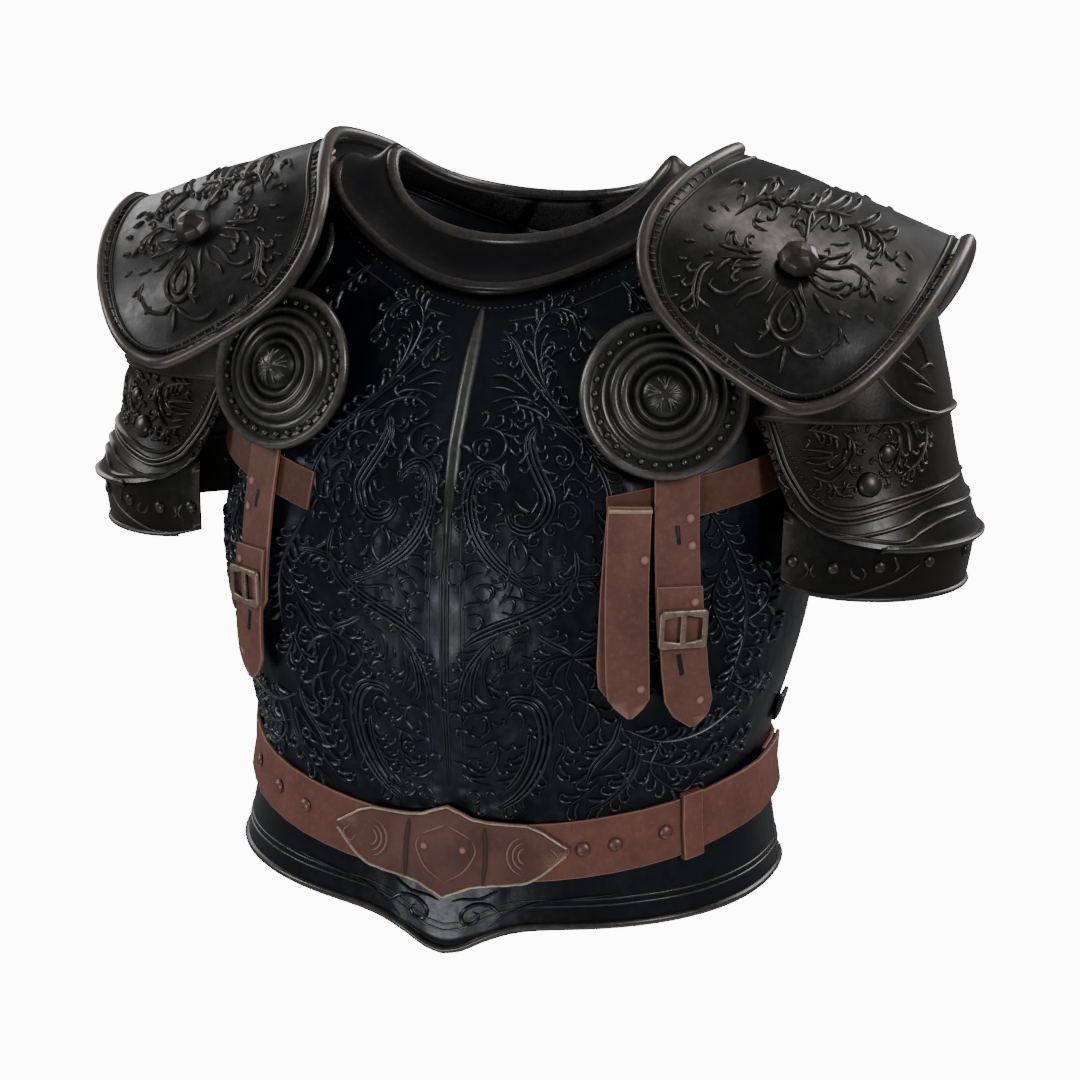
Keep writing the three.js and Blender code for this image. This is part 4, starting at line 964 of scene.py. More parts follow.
@dataclass
class Ground:
    """A surface that ornament is laid on, found by rays.

    Attributes:
        obj: the mesh.
        aim: gives the start and direction of the ray for a point (u, v).
    """

    obj: Piece
    aim: Callable[[float, float], tuple[Vector, Vector]]
    tree: BVHTree = field(init=False)

    def __post_init__(self) -> None:
        """Builds the search tree."""
        self.refresh()

    def refresh(self) -> None:
        """Builds the search tree again after the mesh has changed."""
        faces = [tuple(p.vertices) for p in self.obj.data.polygons]
        self.tree = BVHTree.FromPolygons([tuple(p) for p in points_of(self.obj)], faces)

    def seat(self, u: float, v: float) -> Seat | None:
        """The surface at a point.

        Args:
            u, v: the point, in the aim's units.

        Returns:
            The surface's place and normal there, or None beside it.
        """
        start, direction = self.aim(u, v)
        place, normal, _, _ = self.tree.ray_cast(start, direction)
        if place is None:
            return None
        if normal.dot(direction) > 0:
            normal = -normal
        return place, normal


def round_axis(x: float, sign: int) -> Aim:
    """Rays towards a standing axis: u is degrees, v is z in mm.

    Args:
        x: where the axis is, in metres.
        sign: 1 or -1; on the wearer's right the picture is mirrored.

    Returns:
        The aim.
    """
    def aim(u: float, v: float) -> Seat:
        """A level ray towards the axis.

        Args:
            u: degrees round the axis.
            v: z in mm.

        Returns:
            The ray's start and direction.
        """
        turn = math.radians(u)
        out = Vector((sign * math.cos(turn), math.sin(turn), 0))
        return Vector((sign * x, 0, v * MM)) + out * 0.6, -out

    return aim


def round_torso(u: float, v: float) -> Seat:
    """A level ray towards the torso's middle.

    Args:
        u: degrees from the front to the wearer's left.
        v: z in mm.

    Returns:
        The ray's start and direction.
    """
    turn = math.radians(u)
    out = Vector((math.sin(turn), -math.cos(turn), 0))
    return Vector((0, 0, v * MM)) + out * 0.6, -out


def from_front(sign: int, face: int) -> Aim:
    """Level rays along Y: u is x and v is z in mm.

    Args:
        sign: 1 or -1; on the wearer's right the picture is mirrored.
        face: -1 for rays from the front, 1 for rays from behind.

    Returns:
        The aim.
    """
    def aim(u: float, v: float) -> Seat:
        """A level ray along Y."""
        return Vector((sign * u * MM, face * 0.6, v * MM)), Vector((0, -face, 0))

    return aim


def between(a: np.ndarray, b: np.ndarray, c: np.ndarray, d: np.ndarray, t: float) -> np.ndarray:
    """The point at a share t of the way from b to c, on a smooth curve through four points."""
    return 0.5 * ((2 * b) + (c - a) * t + (2 * a - 5 * b + 4 * c - d) * t**2
                  + (3 * b - a - 3 * c + d) * t**3)


def smooth_path(points: Sequence[Point2], step: float) -> np.ndarray:
    """A smooth curve through points, cut into even steps.

    Args:
        points: the points it passes through.
        step: about how far apart its points are, in the points' own units.

    Returns:
        Its points.
    """
    given = np.array(points, float)
    if len(given) == 2:
        given = np.array([given[0], given.mean(0), given[1]])
    ends = [2 * given[0] - given[1], *given, 2 * given[-1] - given[-2]]
    curve = []
    for a, b, c, d in zip(ends, ends[1:], ends[2:], ends[3:]):
        count = max(2, int(np.linalg.norm(np.subtract(c, b)) / step))
        curve += [between(a, b, c, d, t) for t in np.arange(count) / count]
    curve.append(given[-1])
    return np.array(curve)


def softened(line: Sequence[Sequence[float]], times: int) -> np.ndarray:
    """A closed line whose points are drawn towards their neighbours.

    Args:
        line: its points.
        times: how often they are drawn.

    Returns:
        The smoother line.
    """
    path = np.array(line)
    for _ in range(times):
        path = (np.roll(path, 1, axis=0) + 2 * path + np.roll(path, -1, axis=0)) / 4
    return path


def walked_along(line: np.ndarray) -> np.ndarray:
    """How far along a line each of its points is."""
    return np.concatenate(([0], np.cumsum(np.linalg.norm(np.diff(line, axis=0), axis=1))))


def tree_of(points: np.ndarray) -> KDTree:
    """A search tree of points.

    Args:
        points: rows of x, y and z.

    Returns:
        The tree.
    """
    tree = KDTree(len(points))
    for index, place in enumerate(points):
        tree.insert(place, index)
    tree.balance()
    return tree


def as_drawn(u: float, v: float) -> Point2:
    """A point of a table, left where it is."""
    return u, v


# A leaf's middle line, as shares of its length ahead and beside its stalk
HOOKED_LEAF: tuple[Point2, ...] = ((0, 0.1), (0.34, 0.34), (0.5, 0.72), (0.22, 0.98), (0.0, 0.8))
PLAIN_LEAF: tuple[Point2, ...] = ((-0.05, 0.12), (0.3, 0.3), (0.62, 0.58), (0.8, 0.98))
# A ridge's section, as shares of its half width and of its height, where None is its foot
RIDGE_SECTION: tuple[tuple[float, float | None], ...] = (
    (-1, None), (-0.62, 0.72), (0, 1.0), (0.62, 0.72), (1, None))
# How each point of the section is brightened by rubbing and by a painted highlight, most at the crest
RIDGE_WEAR_AND_SHEEN: tuple[float, ...] = (0.0, 0.45, 1.0, 0.45, 0.0)


@dataclass
class Chaser:
    """Raises strokes of chased ornament on a surface.

    Attributes:
        ground: the surface.
        step: how far apart a stroke's sections are, in the table's units.
        lift: how high a stroke of one ridge stands, as a share of its width.
        sink: how deep its foot goes into the surface, in metres.
        jump: a gap between sections past which a stroke is cut, in metres.
        broad: a factor on the widths of a table's strokes.
        swell_in, swell_out: shares of a stroke's length over which it widens and narrows.
        tip: the least width at its ends, as a share of the full width.
        clear, apart: the least distance of a leaf from the strokes and from the next leaf, in metres.
        hooked, plain: widths of the two kinds of leaf, in mm.
        points, faces, worn: the mesh so far, with each point's rubbing and painted sheen.
        middles: the middle lines so far.
    """

    ground: Ground
    step: float = 2.2
    lift: float = 0.5
    sink: float = 0.0006
    jump: float = 0.02
    broad: float = 1.0
    swell_in: float = 0.18
    swell_out: float = 0.3
    tip: float = 0.22
    clear: float = 0.0021
    apart: float = 0.0034
    hooked: float = 2.5
    plain: float = 3.0
    points: list = field(default_factory=list)
    faces: list = field(default_factory=list)
    worn: list = field(default_factory=list)
    middles: list = field(default_factory=list)

    def stroke(self, width: float, ridges: int, path: Sequence[Point2], taper: bool = True,
               height: float = 1.0) -> None:
        """Raises one stroke.

        Args:
            width: the whole width in mm.
            ridges: how many ridges lie side by side in it.
            path: its points on the surface.
            taper: whether it thins out towards its ends.
            height: a factor on its height.
        """
        seats = [s for s in (self.ground.seat(*p) for p in smooth_path(path, self.step)) if s]
        if len(seats) < 3:
            return
        places = np.array([s[0] for s in seats])
        normals = np.array([s[1] for s in seats])
        jumps = np.flatnonzero(np.linalg.norm(np.diff(places, axis=0), axis=1) > self.jump) + 1
        run = max(np.split(np.arange(len(places)), jumps), key=len)
        places, normals = places[run], normals[run]
        if len(run) < 3:
            return
        normals[1:-1] = (normals[:-2] + normals[1:-1] + normals[2:]) / 3
        along = np.gradient(places, axis=0)
        across = np.cross(normals, along)
        across /= np.maximum(np.linalg.norm(across, axis=1), 1e-9)[:, None]
        self.middles.append(places)
        full = np.ones(len(places))
        share = np.linspace(0, 1, len(places))
        swell = full
        if taper:
            swell = np.minimum(np.minimum(share / self.swell_in, (1 - share) / self.swell_out), 1)
        swell = self.tip + (1 - self.tip) * np.sqrt(np.maximum(swell, 0))
        pitch = width * MM / ridges
        for ridge in range(ridges):
            offset = (ridge - (ridges - 1) / 2) * pitch * swell
            half = 0.54 * pitch * swell
            top = self.lift * pitch * swell * height * (1.0 if ridges == 1 else 0.9)
            rows = []
            for place, level in RIDGE_SECTION:
                rise = -self.sink * full if level is None else top * level
                rows.append(places + across * (offset + place * half)[:, None] + normals * rise[:, None])
            self._loft(np.stack(rows, axis=1), swell)

    def _loft(self, sections: np.ndarray, swell: np.ndarray) -> None:
        """Joins sections to one closed ridge.

        Args:
            sections: the points of each section.
            swell: how full the stroke is at each section, which also sets its rubbing and painted sheen.
        """
        start = sum(len(p) for p in self.points)
        count, sides = sections.shape[:2]
        self.points.append(sections.reshape(-1, 3))
        self.worn.append((swell[:, None] * np.array(RIDGE_WEAR_AND_SHEEN)[None, :]).ravel())
        for row in range(count - 1):
            for column in range(sides):
                a = start + row * sides + column
                b = start + row * sides + (column + 1) % sides
                self.faces.append((a, a + sides, b + sides, b))
        self.faces.append(tuple(start + c for c in range(sides)))
        end = start + (count - 1) * sides
        self.faces.append(tuple(end + c for c in reversed(range(sides))))

    def table(self, rows: Iterable[StrokeRow], turn: Turn = as_drawn) -> None:
        """Raises every stroke of a table.

        Args:
            rows: the table.
            turn: moves a point of the table, such as to mirror it.
        """
        for width, ridges, path in rows:
            self.stroke(width * self.broad, ridges, [turn(*p) for p in path])

    def leaves(self, rows: Iterable[StrokeRow], size: float, gap: float, scale: float,
               turn: Turn = as_drawn) -> None:
        """Lets acanthus leaves branch off the longer strokes wherever there is room.

        Args:
            rows: the table whose strokes carry them.
            size: a leaf's length in mm.
            gap: how far apart they spring, in mm.
            scale: how many mm one unit of u is.
            turn: moves a point of the table, such as to mirror it.
        """
        taken = tree_of(np.vstack(self.middles))
        tips: list[Vector] = []
        flat = np.array([scale, 1.0])
        for _, _, path in rows:
            for root, ahead, beside in self._springs(smooth_path([turn(*p) for p in path], 1.0) * flat, gap):
                hooked = len(tips) % 3 != 1
                shape = HOOKED_LEAF if hooked else PLAIN_LEAF
                leaf = [(root + size * (a * ahead + b * beside)) / flat for a, b in shape]
                seats = [self.ground.seat(*p) for p in leaf]
                if any(s is None for s in seats):
                    continue
                if any(taken.find(s[0])[2] < self.clear for s in seats[2:]):
                    continue
                if any((seats[2][0] - other).length < self.apart for other in tips):
                    continue
                tips.append(seats[2][0])
                self.stroke(self.hooked if hooked else self.plain, 1, [tuple(p) for p in leaf])

    @staticmethod
    def _springs(curve: np.ndarray, gap: float) -> Iterable[tuple[np.ndarray, np.ndarray, np.ndarray]]:
        """Where leaves may spring from a curve, first on its left and then on its right.

        Args:
            curve: the curve's points in mm.
            gap: how far apart they spring, in mm.

        Yields:
            A place, the curve's direction there and the direction beside it.
        """
        walked = walked_along(curve)
        if walked[-1] < 2.2 * gap:
            return
        for way, first in ((1, 0.7), (-1, 1.1)):
            for place in np.arange(gap * first, walked[-1] - 0.4 * gap, gap):
                root = np.array([np.interp(place, walked, curve[:, k]) for k in (0, 1)])
                ahead = np.array([np.interp(place + 2, walked, curve[:, k]) for k in (0, 1)]) - root
                length = np.linalg.norm(ahead)
                if length >= 0.5:
                    ahead /= length
                    yield root, ahead, way * np.array([-ahead[1], ahead[0]])

    def done(self, name: str) -> Piece:
        """The strokes as one piece."""
        return from_arrays(name, np.vstack(self.points), self.faces, np.concatenate(self.worn))


def swell_under(obj: Piece, middles: Sequence[np.ndarray], height: float, reach: float) -> None:
    """Raises a plate softly under its ornament, as work hammered from behind.

    Args:
        obj: the plate.
        middles: the middle lines of the strokes.
        height: the most that it rises, in metres.
        reach: how far from a stroke it fades, in metres.
    """
    tree = tree_of(np.vstack(middles))
    points = points_of(obj)
    normals = normals_of(obj)
    far = np.array([tree.find(Vector(p))[2] for p in points])
    outer = np.einsum("ij,ij->i", points - points.mean(0), normals) > 0
    rise = height * np.exp(-((far / reach) ** 2)) * outer
    move_points(obj, points + normals * rise[:, None])


# The cuirass


def around_neck(degrees: float, front: float, side: float, back: float) -> float:
    """A height on the collar's line.

    Args:
        degrees: the angle from the front.
        front, side, back: its heights there, in mm.

    Returns:
        The height at the angle, in mm.
    """
    ahead = math.cos(math.radians(degrees))
    soft, power = 0.03, 0.45
    share = ((ahead * ahead + soft) ** power - soft**power) / ((1 + soft) ** power - soft**power)
    return side + (((front if ahead > 0 else back) - side) * share)


@dataclass
class Torso:
    """Breastplate and backplate with their ornament and edges.

    Attributes:
        swell: how high the plate is hammered up under its ornament, in metres.
        seat_front, seat_side, seat_back: heights of the collar's seat, in mm.
        drop: how far the hem is below the shoulders, in mm.
        dip, point: how much the hem dips and its point reaches lower in front, in mm.
        hole_depth, hole_height: the armhole's size, in mm.
        leafless: strokes that start below this height in mm carry no leaves.
    """

    swell: float = 0.0011
    seat_front: float = -58
    seat_side: float = 12
    seat_back: float = -38
    drop: float = 434
    dip: float = 6
    point: float = 20
    hole_depth: float = 144
    hole_height: float = 184
    leafless: float = -372

    def hem(self, degrees: float) -> float:
        """The hem's height at an angle from the front.

        Args:
            degrees: the angle.

        Returns:
            The height in mm.
        """
        turn = math.radians(abs(degrees))
        ahead = max(0.0, math.cos(turn))
        return -self.drop - self.dip * ahead * ahead - self.point * math.exp(-((turn / 0.2) ** 2))

    def seat(self, degrees: float) -> float:
        """The height of the collar's seat in mm."""
        return around_neck(degrees, self.seat_front, self.seat_side, self.seat_back)

    def build(self) -> None:
        """Builds and dresses both plates."""
        front = self.plate("breastplate")
        back = self.plate("backplate")
        self.ornament(front, "breast_ornament", 0)
        self.ornament(back, "back_ornament", 180)
        self.ridge(front)
        self.edges(front, back)
        for plate, node in ((front, "breastplate"), (back, "backplate")):
            settle(plate, Finish.CHEST, Slot.STEEL, 50, (node,))

    def plate(self, node: str) -> Piece:
        """A smooth copy of a plate.

        Args:
            node: the CAD node.

        Returns:
            The copy.
        """
        obj = merged_copy(node, f"{node}_shell")
        crease_corners(obj, 70)
        apply_modifier(obj, "SUBSURF", levels=3, render_levels=3)
        return obj

    def ornament(self, plate: Piece, name: str, middle: float) -> None:
        """Lays the scrolls on a plate, on both sides of its middle.

        Args:
            plate: the plate.
            name: the ornament's name.
            middle: the angle of the plate's middle.
        """
        ground = Ground(plate, round_torso)
        for final in (False, True):
            chaser = Chaser(ground, step=1.5, lift=0.72)
            rows = CHEST_STROKES if middle == 0 else [r for r in CHEST_STROKES if r[2][0][1] > -400]
            for sign in (1, -1):
                chaser.table(rows, lambda u, v: (middle + sign * u, v))
            for sign in (1, -1):
                chaser.leaves([r for r in rows if r[2][0][1] > self.leafless], size=9, gap=6.5, scale=2.5,
                              turn=lambda u, v: (middle + sign * u, v))
            if not final:
                swell_under(plate, chaser.middles, self.swell, 0.0045)
                ground.refresh()
        settle(chaser.done(name), Finish.CHEST)

    def ridge(self, plate: Piece) -> None:
        """Raises the medial ridge and the lines beside it; the ridge is painted brighter towards the top as a
        highlight.

        Args:
            plate: the breastplate.
        """
        chaser = Chaser(Ground(plate, round_torso), step=4, lift=0.34)
        flutes = range(-150, -362, -12)
        chaser.stroke(8.5, 1, [(0, z) for z in range(-64, -205, -12)], height=0.95)
        chaser.stroke(6.5, 3, [(0, z) for z in flutes], height=1.5)
        for sign in (1, -1):
            chaser.stroke(1.7, 1, [(sign * (3.2 + 0.4 * math.sin(z / 60)), z) for z in flutes])
            chaser.stroke(1.5, 1, [(sign * 4.3, z) for z in range(-215, -362, -12)])
        obj = chaser.done("medial_ridge")
        worn = np.zeros(len(obj.data.vertices))
        obj.data.attributes["worn"].data.foreach_get("value", worn)
        height = points_of(obj)[:, 2]
        # Painted highlight: the ridge is painted brightest near its top and fades lower down.
        mark(obj, worn * np.clip(0.95 + (height + 0.06) / 0.28, 0.3, 1.0))
        settle(obj, Finish.RIDGE)

    def edges(self, front: Piece, back: Piece) -> None:
        """Rolls the hem and armholes, and cuts the lines beside the hem and the collar.

        Args:
            front: the breastplate.
            back: the backplate.
        """
        both = bpy.data.meshes.new("both")
        plates = bpy.data.objects.new("both", both)
        shape = bmesh.new()
        shape.from_mesh(front.data)
        shape.from_mesh(back.data)
        shape.to_mesh(both)
        shape.free()
        ground = Ground(plates, round_torso)
        rolls = Chaser(ground, step=3, lift=0.5)
        turns = range(0, 364, 4)
        for inset, width in ((2.6, 4.6), (15, 1.6), (19, 1.4)):
            rolls.stroke(width, 1, [(a, self.hem(self.folded(a)) + inset) for a in turns], taper=False)
        for sign in (1, -1):
            rolls.stroke(2.0, 1, [(sign * a, self.seat(a) - 15) for a in range(10, 58, 4)], height=0.8)
        hem = rolls.done("rolled_edges")
        holes = [self.armhole(plates, side) for side in Side]
        bpy.data.objects.remove(plates)
        settle(joined(hem, holes), Finish.COLLAR)
        places = [(a, self.seat(a) - 7.5) for a in np.arange(-180, 180, 2.1)]
        beads = [s for s in (ground.seat(u, v) for u, v in places) if s]
        settle(strewn("neck_beads", bead_shape(0.0013, 0.8, 1), beads), Finish.COLLAR)

    def folded(self, degrees: float) -> float:
        """An angle folded to at most half a turn."""
        return (degrees + 180) % 360 - 180

    def armhole(self, plates: Piece, side: Side) -> Piece:
        """The roll round an armhole.

        Args:
            plates: both plates as one mesh.
            side: which armhole.

        Returns:
            The roll.
        """
        def from_side(u: float, v: float) -> Seat:
            """A level ray along X, at y and z in mm."""
            return Vector((side.value * 0.6, u * MM, v * MM)), Vector((-side.value, 0, 0))

        chaser = Chaser(Ground(plates, from_side), step=3, lift=0.5)
        half_depth, half_height = 1.035 * self.hole_depth / 2, 1.03 * self.hole_height / 2
        middle = -self.hole_height / 2
        path = []
        for turn in range(-225, 50, 5):
            around = math.radians(turn)
            path.append((half_depth * math.cos(around), middle + half_height * math.sin(around)))
        chaser.stroke(5, 1, path, taper=False)
        return chaser.done(f"armhole_roll_{side.word}")


@dataclass
class Collar:
    """The rolled neck ring.

    Attributes:
        levels: how often the ring is subdivided.
        rim, bead: radii of the roll on its rim and of its outer bead, in metres.
        hole_x, hole_y: half the neck opening's size, in metres.
    """

    levels: int = 2
    rim: float = 0.0042
    bead: float = 0.0036
    hole_x: float = 0.092
    hole_y: float = 0.064

    def build(self) -> None:
        """Builds the ring; its rolled rim and bead are painted brighter where they face up, as a painted
        highlight.
        """
        obj = merged_copy("collar", "neck_ring")
        self.rolls(obj)
        apply_modifier(obj, "SUBSURF", levels=self.levels, render_levels=self.levels)
        points = points_of(obj)
        normals = normals_of(obj)
        out = points.copy()
        out[:, 2] = 0
        out /= np.maximum(np.linalg.norm(out, axis=1), 1e-9)[:, None]
        facing = np.einsum("ij,ij->i", normals, out)
        up = normals[:, 2]
        radius = np.hypot(points[:, 0] / self.hole_x, points[:, 1] / self.hole_y)
        rim = np.clip(1.16 - radius, 0, 0.1) / 0.1
        bead = np.clip(radius - 1.26, 0, 0.08) / 0.08
        # Painted highlight: brighter where the normal points up, and on the bead also where it faces outward.
        mark(obj, 0.25 * rim * np.clip(up, 0, 1) + 0.1 * bead * np.clip(up + facing * 0.3, 0, 1))
        settle(obj, Finish.COLLAR, Slot.STEEL, 60, ("collar",))

    def rolls(self, ring: Piece) -> None:
        """The crisp rolls on the ring's rim and bead, laid where the solid has them.

        Args:
            ring: the ring, before it is smoothed.
        """
        def outward(u: float, v: float) -> Seat:
            """A level ray from the middle outwards, at u degrees from the front and v mm high."""
            turn = math.radians(u)
            return Vector((0, 0, v * MM)), Vector((math.sin(turn), -math.cos(turn), 0))

        def reach(seat: Seat) -> float:
            """How far a seat is from the middle."""
            return math.hypot(seat[0].x, seat[0].y)

        inner, outer = Ground(ring, outward), Ground(ring, round_torso)
        heights = [0.5 * step for step in range(-124, 60)]
        rim, bead = [], []
        for degrees in (3 * turn + 1.5 for turn in range(120)):
            out = outward(degrees, 0)[1]
            inside = [seat for seat in (inner.seat(degrees, z) for z in heights) if seat]
            outside = [seat for seat in (outer.seat(degrees, z) for z in heights) if seat]
            rim.append(min(inside, key=reach)[0] + out * self.rim)
            bead.append(max(outside, key=reach)[0] - out * self.bead)
        # Painted highlight: the rim and bead rolls are painted bright all along, besides their rubbing.
        for name, line, radius, worn in (
                ("collar_rim_roll", rim, self.rim, 0.95),
                ("collar_bead_roll", bead, self.bead, 0.6)):
            settle(tube(name, softened(line, 8), radius, worn), Finish.COLLAR, Slot.STEEL, 80)


# Places on the arm plates and lower lames: degrees round the arm, z in mm and, for the arm bosses, a size
ROSETTE_LINE: tuple[Point2, ...] = ((-103, -116), (-100, -128), (-96, -142), (-91, -157), (-87, -169),
                                    (-80, -180))
BEAD_LINE: tuple[Point2, ...] = ((-96, -112), (-94, -122), (-91, -133), (-87, -146), (-82, -158), (-76, -168),
                                 (-68, -174))
ARM_BOSSES: tuple[Point3, ...] = ((-57, -159, 1.0), (-58, -119, 0.62), (-49, -141, 0.75), (57, -159, 1.0),
                                  (58, -119, 0.62))
LAME_BOSSES: tuple[Point2, ...] = ((-85, -206), (-70, -209), (-53, -208), (-33, -207), (-11, -206),
                                   (11, -206), (33, -207), (53, -208), (70, -209), (85, -206))


@dataclass
class Pauldron:
    """One shoulder: cap, boss, lames and arm plate.

    Attributes:
        side: which shoulder.
        arm_x: where the arm's middle is, in metres.
        rim: radius of the rolled rim, in metres.
        bead, inset: radius of the bead inside it and how far in it runs, in metres.
        leafless: strokes that start below this height in mm carry no leaves.
        swell: how high the cap is hammered up under its ornament, in metres.
        degree: how many mm one degree round the arm plate is.
        plate_top, plate_bottom: heights of the arm plate's edge line, in mm.
        tuck_rise: how far the lower lame's corners are drawn up, in metres.
        tuck_in: how far they are drawn in, as a share of their distance from the arm's middle.
    """

    side: Side
    arm_x: float = 0.187
    rim: float = 0.0042
    bead: float = 0.0013
    inset: float = 0.0075
    leafless: float = -36
    swell: float = 0.0008
    degree: float = 1.62
    plate_top: float = -112.0
    plate_bottom: float = -200.0
    tuck_rise: float = 0.016
    tuck_in: float = 0.035

    def build(self) -> None:
        """Builds and dresses the whole shoulder."""
        self.cap()
        self.boss()
        self.arm_plate()
        self.lame("upper_lame", UPPER_LAME_STROKES)
        self.lame("lower_lame", LOWER_LAME_STROKES)

    def skin(self, node: str, levels: int, crease: float) -> Piece:
        """A smooth copy of one of this side's plates.

        Args:
            node: the CAD node without its side.
            levels: how often it is subdivided.
            crease: edges that bend by more degrees than this stay sharp.

        Returns:
            The copy.
        """
        obj = merged_copy(f"{node}_{self.side.word}", f"{node}_skin_{self.side.word}")
        crease_corners(obj, crease)
        apply_modifier(obj, "SUBSURF", levels=levels, render_levels=levels)
        return obj

    def cap(self) -> None:
        """The saddle-shaped cap with its ornament, comb of strokes and rolled rim."""
        word = self.side.word
        obj = self.skin("pauldron_cap", 2, 100)
        grounds = [Ground(obj, from_front(self.side.value, face)) for face in (-1, 1)]
        for final in (False, True):
            chasers = [Chaser(ground, step=2.4, lift=0.7, broad=1.35) for ground in grounds]
            for chaser in chasers:
                chaser.table(CAP_STROKES)
                rows = [r for r in CAP_STROKES if r[2][0][1] > self.leafless]
                chaser.leaves(rows, size=8.5, gap=6, scale=1.0)
            if not final:
                swell_under(obj, chasers[0].middles + chasers[1].middles, self.swell, 0.004)
                for ground in grounds:
                    ground.refresh()
        for chaser in chasers:
            self.comb(chaser)
        ornament = joined(chasers[0].done(f"cap_ornament_{word}"), [chasers[1].done("other")])
        settle(ornament, Finish.SHOULDER)
        settle(obj, Finish.SHOULDER, Slot.STEEL, 60, (f"pauldron_cap_{word}",))
        self.rolled_rim(obj)

    def comb(self, chaser: Chaser) -> None:
        """Short strokes that run inwards from the rim.

        Args:
            chaser: raises strokes on one face of the cap.
        """
        middle = Vector(COMB_MIDDLE)
        for x, z in comb_places():
            away = (Vector((x, z)) - middle).normalized() * COMB_REACH
            chaser.stroke(1.3, 1, [(x - away.x, z - away.y), (x - away.x / 3, z - away.y / 3)])

    def rolled_rim(self, skin: Piece) -> None:
        """The rolled rim and the thin bead that runs inside it.

        Args:
            skin: the cap's plate.
        """
        word = self.side.word
        path = np.array(smooth_closed([Vector(p) * MM for p in CAP_RIM], 264))
        path[:, 0] *= self.side.value
        # Painted highlight: the rim tube is painted lighter, besides its rubbing.
        settle(tube(f"cap_rim_{word}", path, self.rim, 0.4), Finish.RIM, Slot.STEEL, 80)
        tree = Ground(skin, from_front(1, -1)).tree
        arm = Vector((self.side.value * self.arm_x, 0, -0.08))
        top = Vector((self.side.value * self.arm_x, 0, 0.02))
        inner = []
        for index in range(len(path)):
            place = Vector(path[index])
            along = (Vector(path[(index + 1) % len(path)]) - Vector(path[index - 1])).normalized()
            away = (place - arm).normalized()
            inward = away.cross(along).normalized()
            if inward.dot(top - place) < 0:
                inward = -inward
            target = place + inward * self.inset
            found = tree.ray_cast(target + away * 0.05, -away)[0]
            inner.append(found if found is not None else target)
        bead = tube(f"cap_inner_bead_{word}", softened(inner, 4), self.bead, 0.25, 8)
        settle(bead, Finish.SHOULDER, Slot.STEEL, 80)

    def boss(self) -> None:
        """The faceted boss, its corners painted a little brighter, partly rubbing and partly a painted
        highlight.
        """
        node = f"cap_boss_{self.side.word}"
        obj = merged_copy(node, f"faceted_boss_{self.side.word}")
        sharp_edge_sheen_and_rubbing(obj, 18, 0.6)
        rounded(obj, 0.0011, 12)
        settle(obj, Finish.ARM, Slot.STEEL, 40, (node,))

    def mirrored_behind(self, chaser: Chaser, rows: tuple[StrokeRow, ...]) -> None:
        """Lays a table on the front half of an arm plate and its mirror image behind."""
        chaser.table(rows)
        chaser.table(rows, lambda u, v: (-u, v))

    def arm_plate(self) -> None:
        """The main arm plate: rolled edge, scrolls and leaves, border of rosettes and beads, and bosses."""
        word = self.side.word
        obj = self.skin("arm_plate", 2, 70)
        ground = Ground(obj, round_axis(self.arm_x, self.side.value))
        chaser = Chaser(ground, step=1.8, lift=0.7, broad=1.2)
        self.mirrored_behind(chaser, ARM_STROKES)
        inside = [row for row in ARM_STROKES if row[1] == 1 and row[2][0][1] > -160]
        for way in (1, -1):
            chaser.leaves(inside, size=6.5, gap=5, scale=self.degree, turn=lambda u, v: (way * u, v))
        chaser.stroke(4.2, 1, self.border(2.2), taper=False)
        settle(chaser.done(f"arm_ornament_{word}"), Finish.ARM)
        for name, seed, line, gap in (
                ("border_rosettes", rosette(0.0021), ROSETTE_LINE, 7),
                ("border_beads", bead_shape(0.0011, 0.8, 1), BEAD_LINE, 3.2)):
            places = [(way * u, v) for way in (1, -1) for u, v in self.spaced(line, gap)]
            seats = [s for s in (ground.seat(u, v) for u, v in places) if s]
            settle(strewn(f"{name}_{word}", seed, seats), Finish.ARM)
        seats, sizes = [], []
        for u, v, size in ARM_BOSSES:
            seat = ground.seat(u, v)
            if seat:
                seats.append(seat)
                sizes.append(size)
        bosses = strewn(f"arm_bosses_{word}", bead_shape(0.0078, 0.55, 3), seats, sizes)
        settle(bosses, Finish.ARM)
        sharp_edge_sheen_and_rubbing(obj, 50, 0.8)
        settle(obj, Finish.ARM, Slot.STEEL, 45, (f"arm_plate_{word}",))

    def border(self, inset: float) -> list[Point2]:
        """A line at an even distance inside the arm plate's edge.

        Args:
            inset: how far inside, in mm.

        Returns:
            Its points, as degrees round the arm and z in mm.
        """
        line = []
        for step in range(0, 21):
            v = self.plate_top + (self.plate_bottom + inset + 22 - self.plate_top) * step / 20
            share = (-100 - v) / 100
            line.append((-(108 - 22 * share) + inset * math.degrees(1 / 93), v))
        start = line[-1][0]
        for step in range(1, 41):
            u = start * (1 - step / 20)
            rise = 20 * abs(u / 88) ** 5
            line.append((u, self.plate_bottom + inset + rise))
        line += [(-u, v) for u, v in reversed(line[:20])]
        return line

    def spaced(self, line: Sequence[Point2], gap: float) -> list[Point2]:
        """Points along a border line at even gaps.

        Args:
            line: the border line, as degrees round the arm and z in mm.
            gap: how far apart they are, in mm.

        Returns:
            The points, as degrees and z in mm.
        """
        path = smooth_path(line, 1.2)
        walked = walked_along(path * np.array([self.degree, 1.0]))
        marks = np.arange(gap, walked[-1] - gap, gap)
        return [(float(np.interp(m, walked, path[:, 0])), float(np.interp(m, walked, path[:, 1])))
                for m in marks]

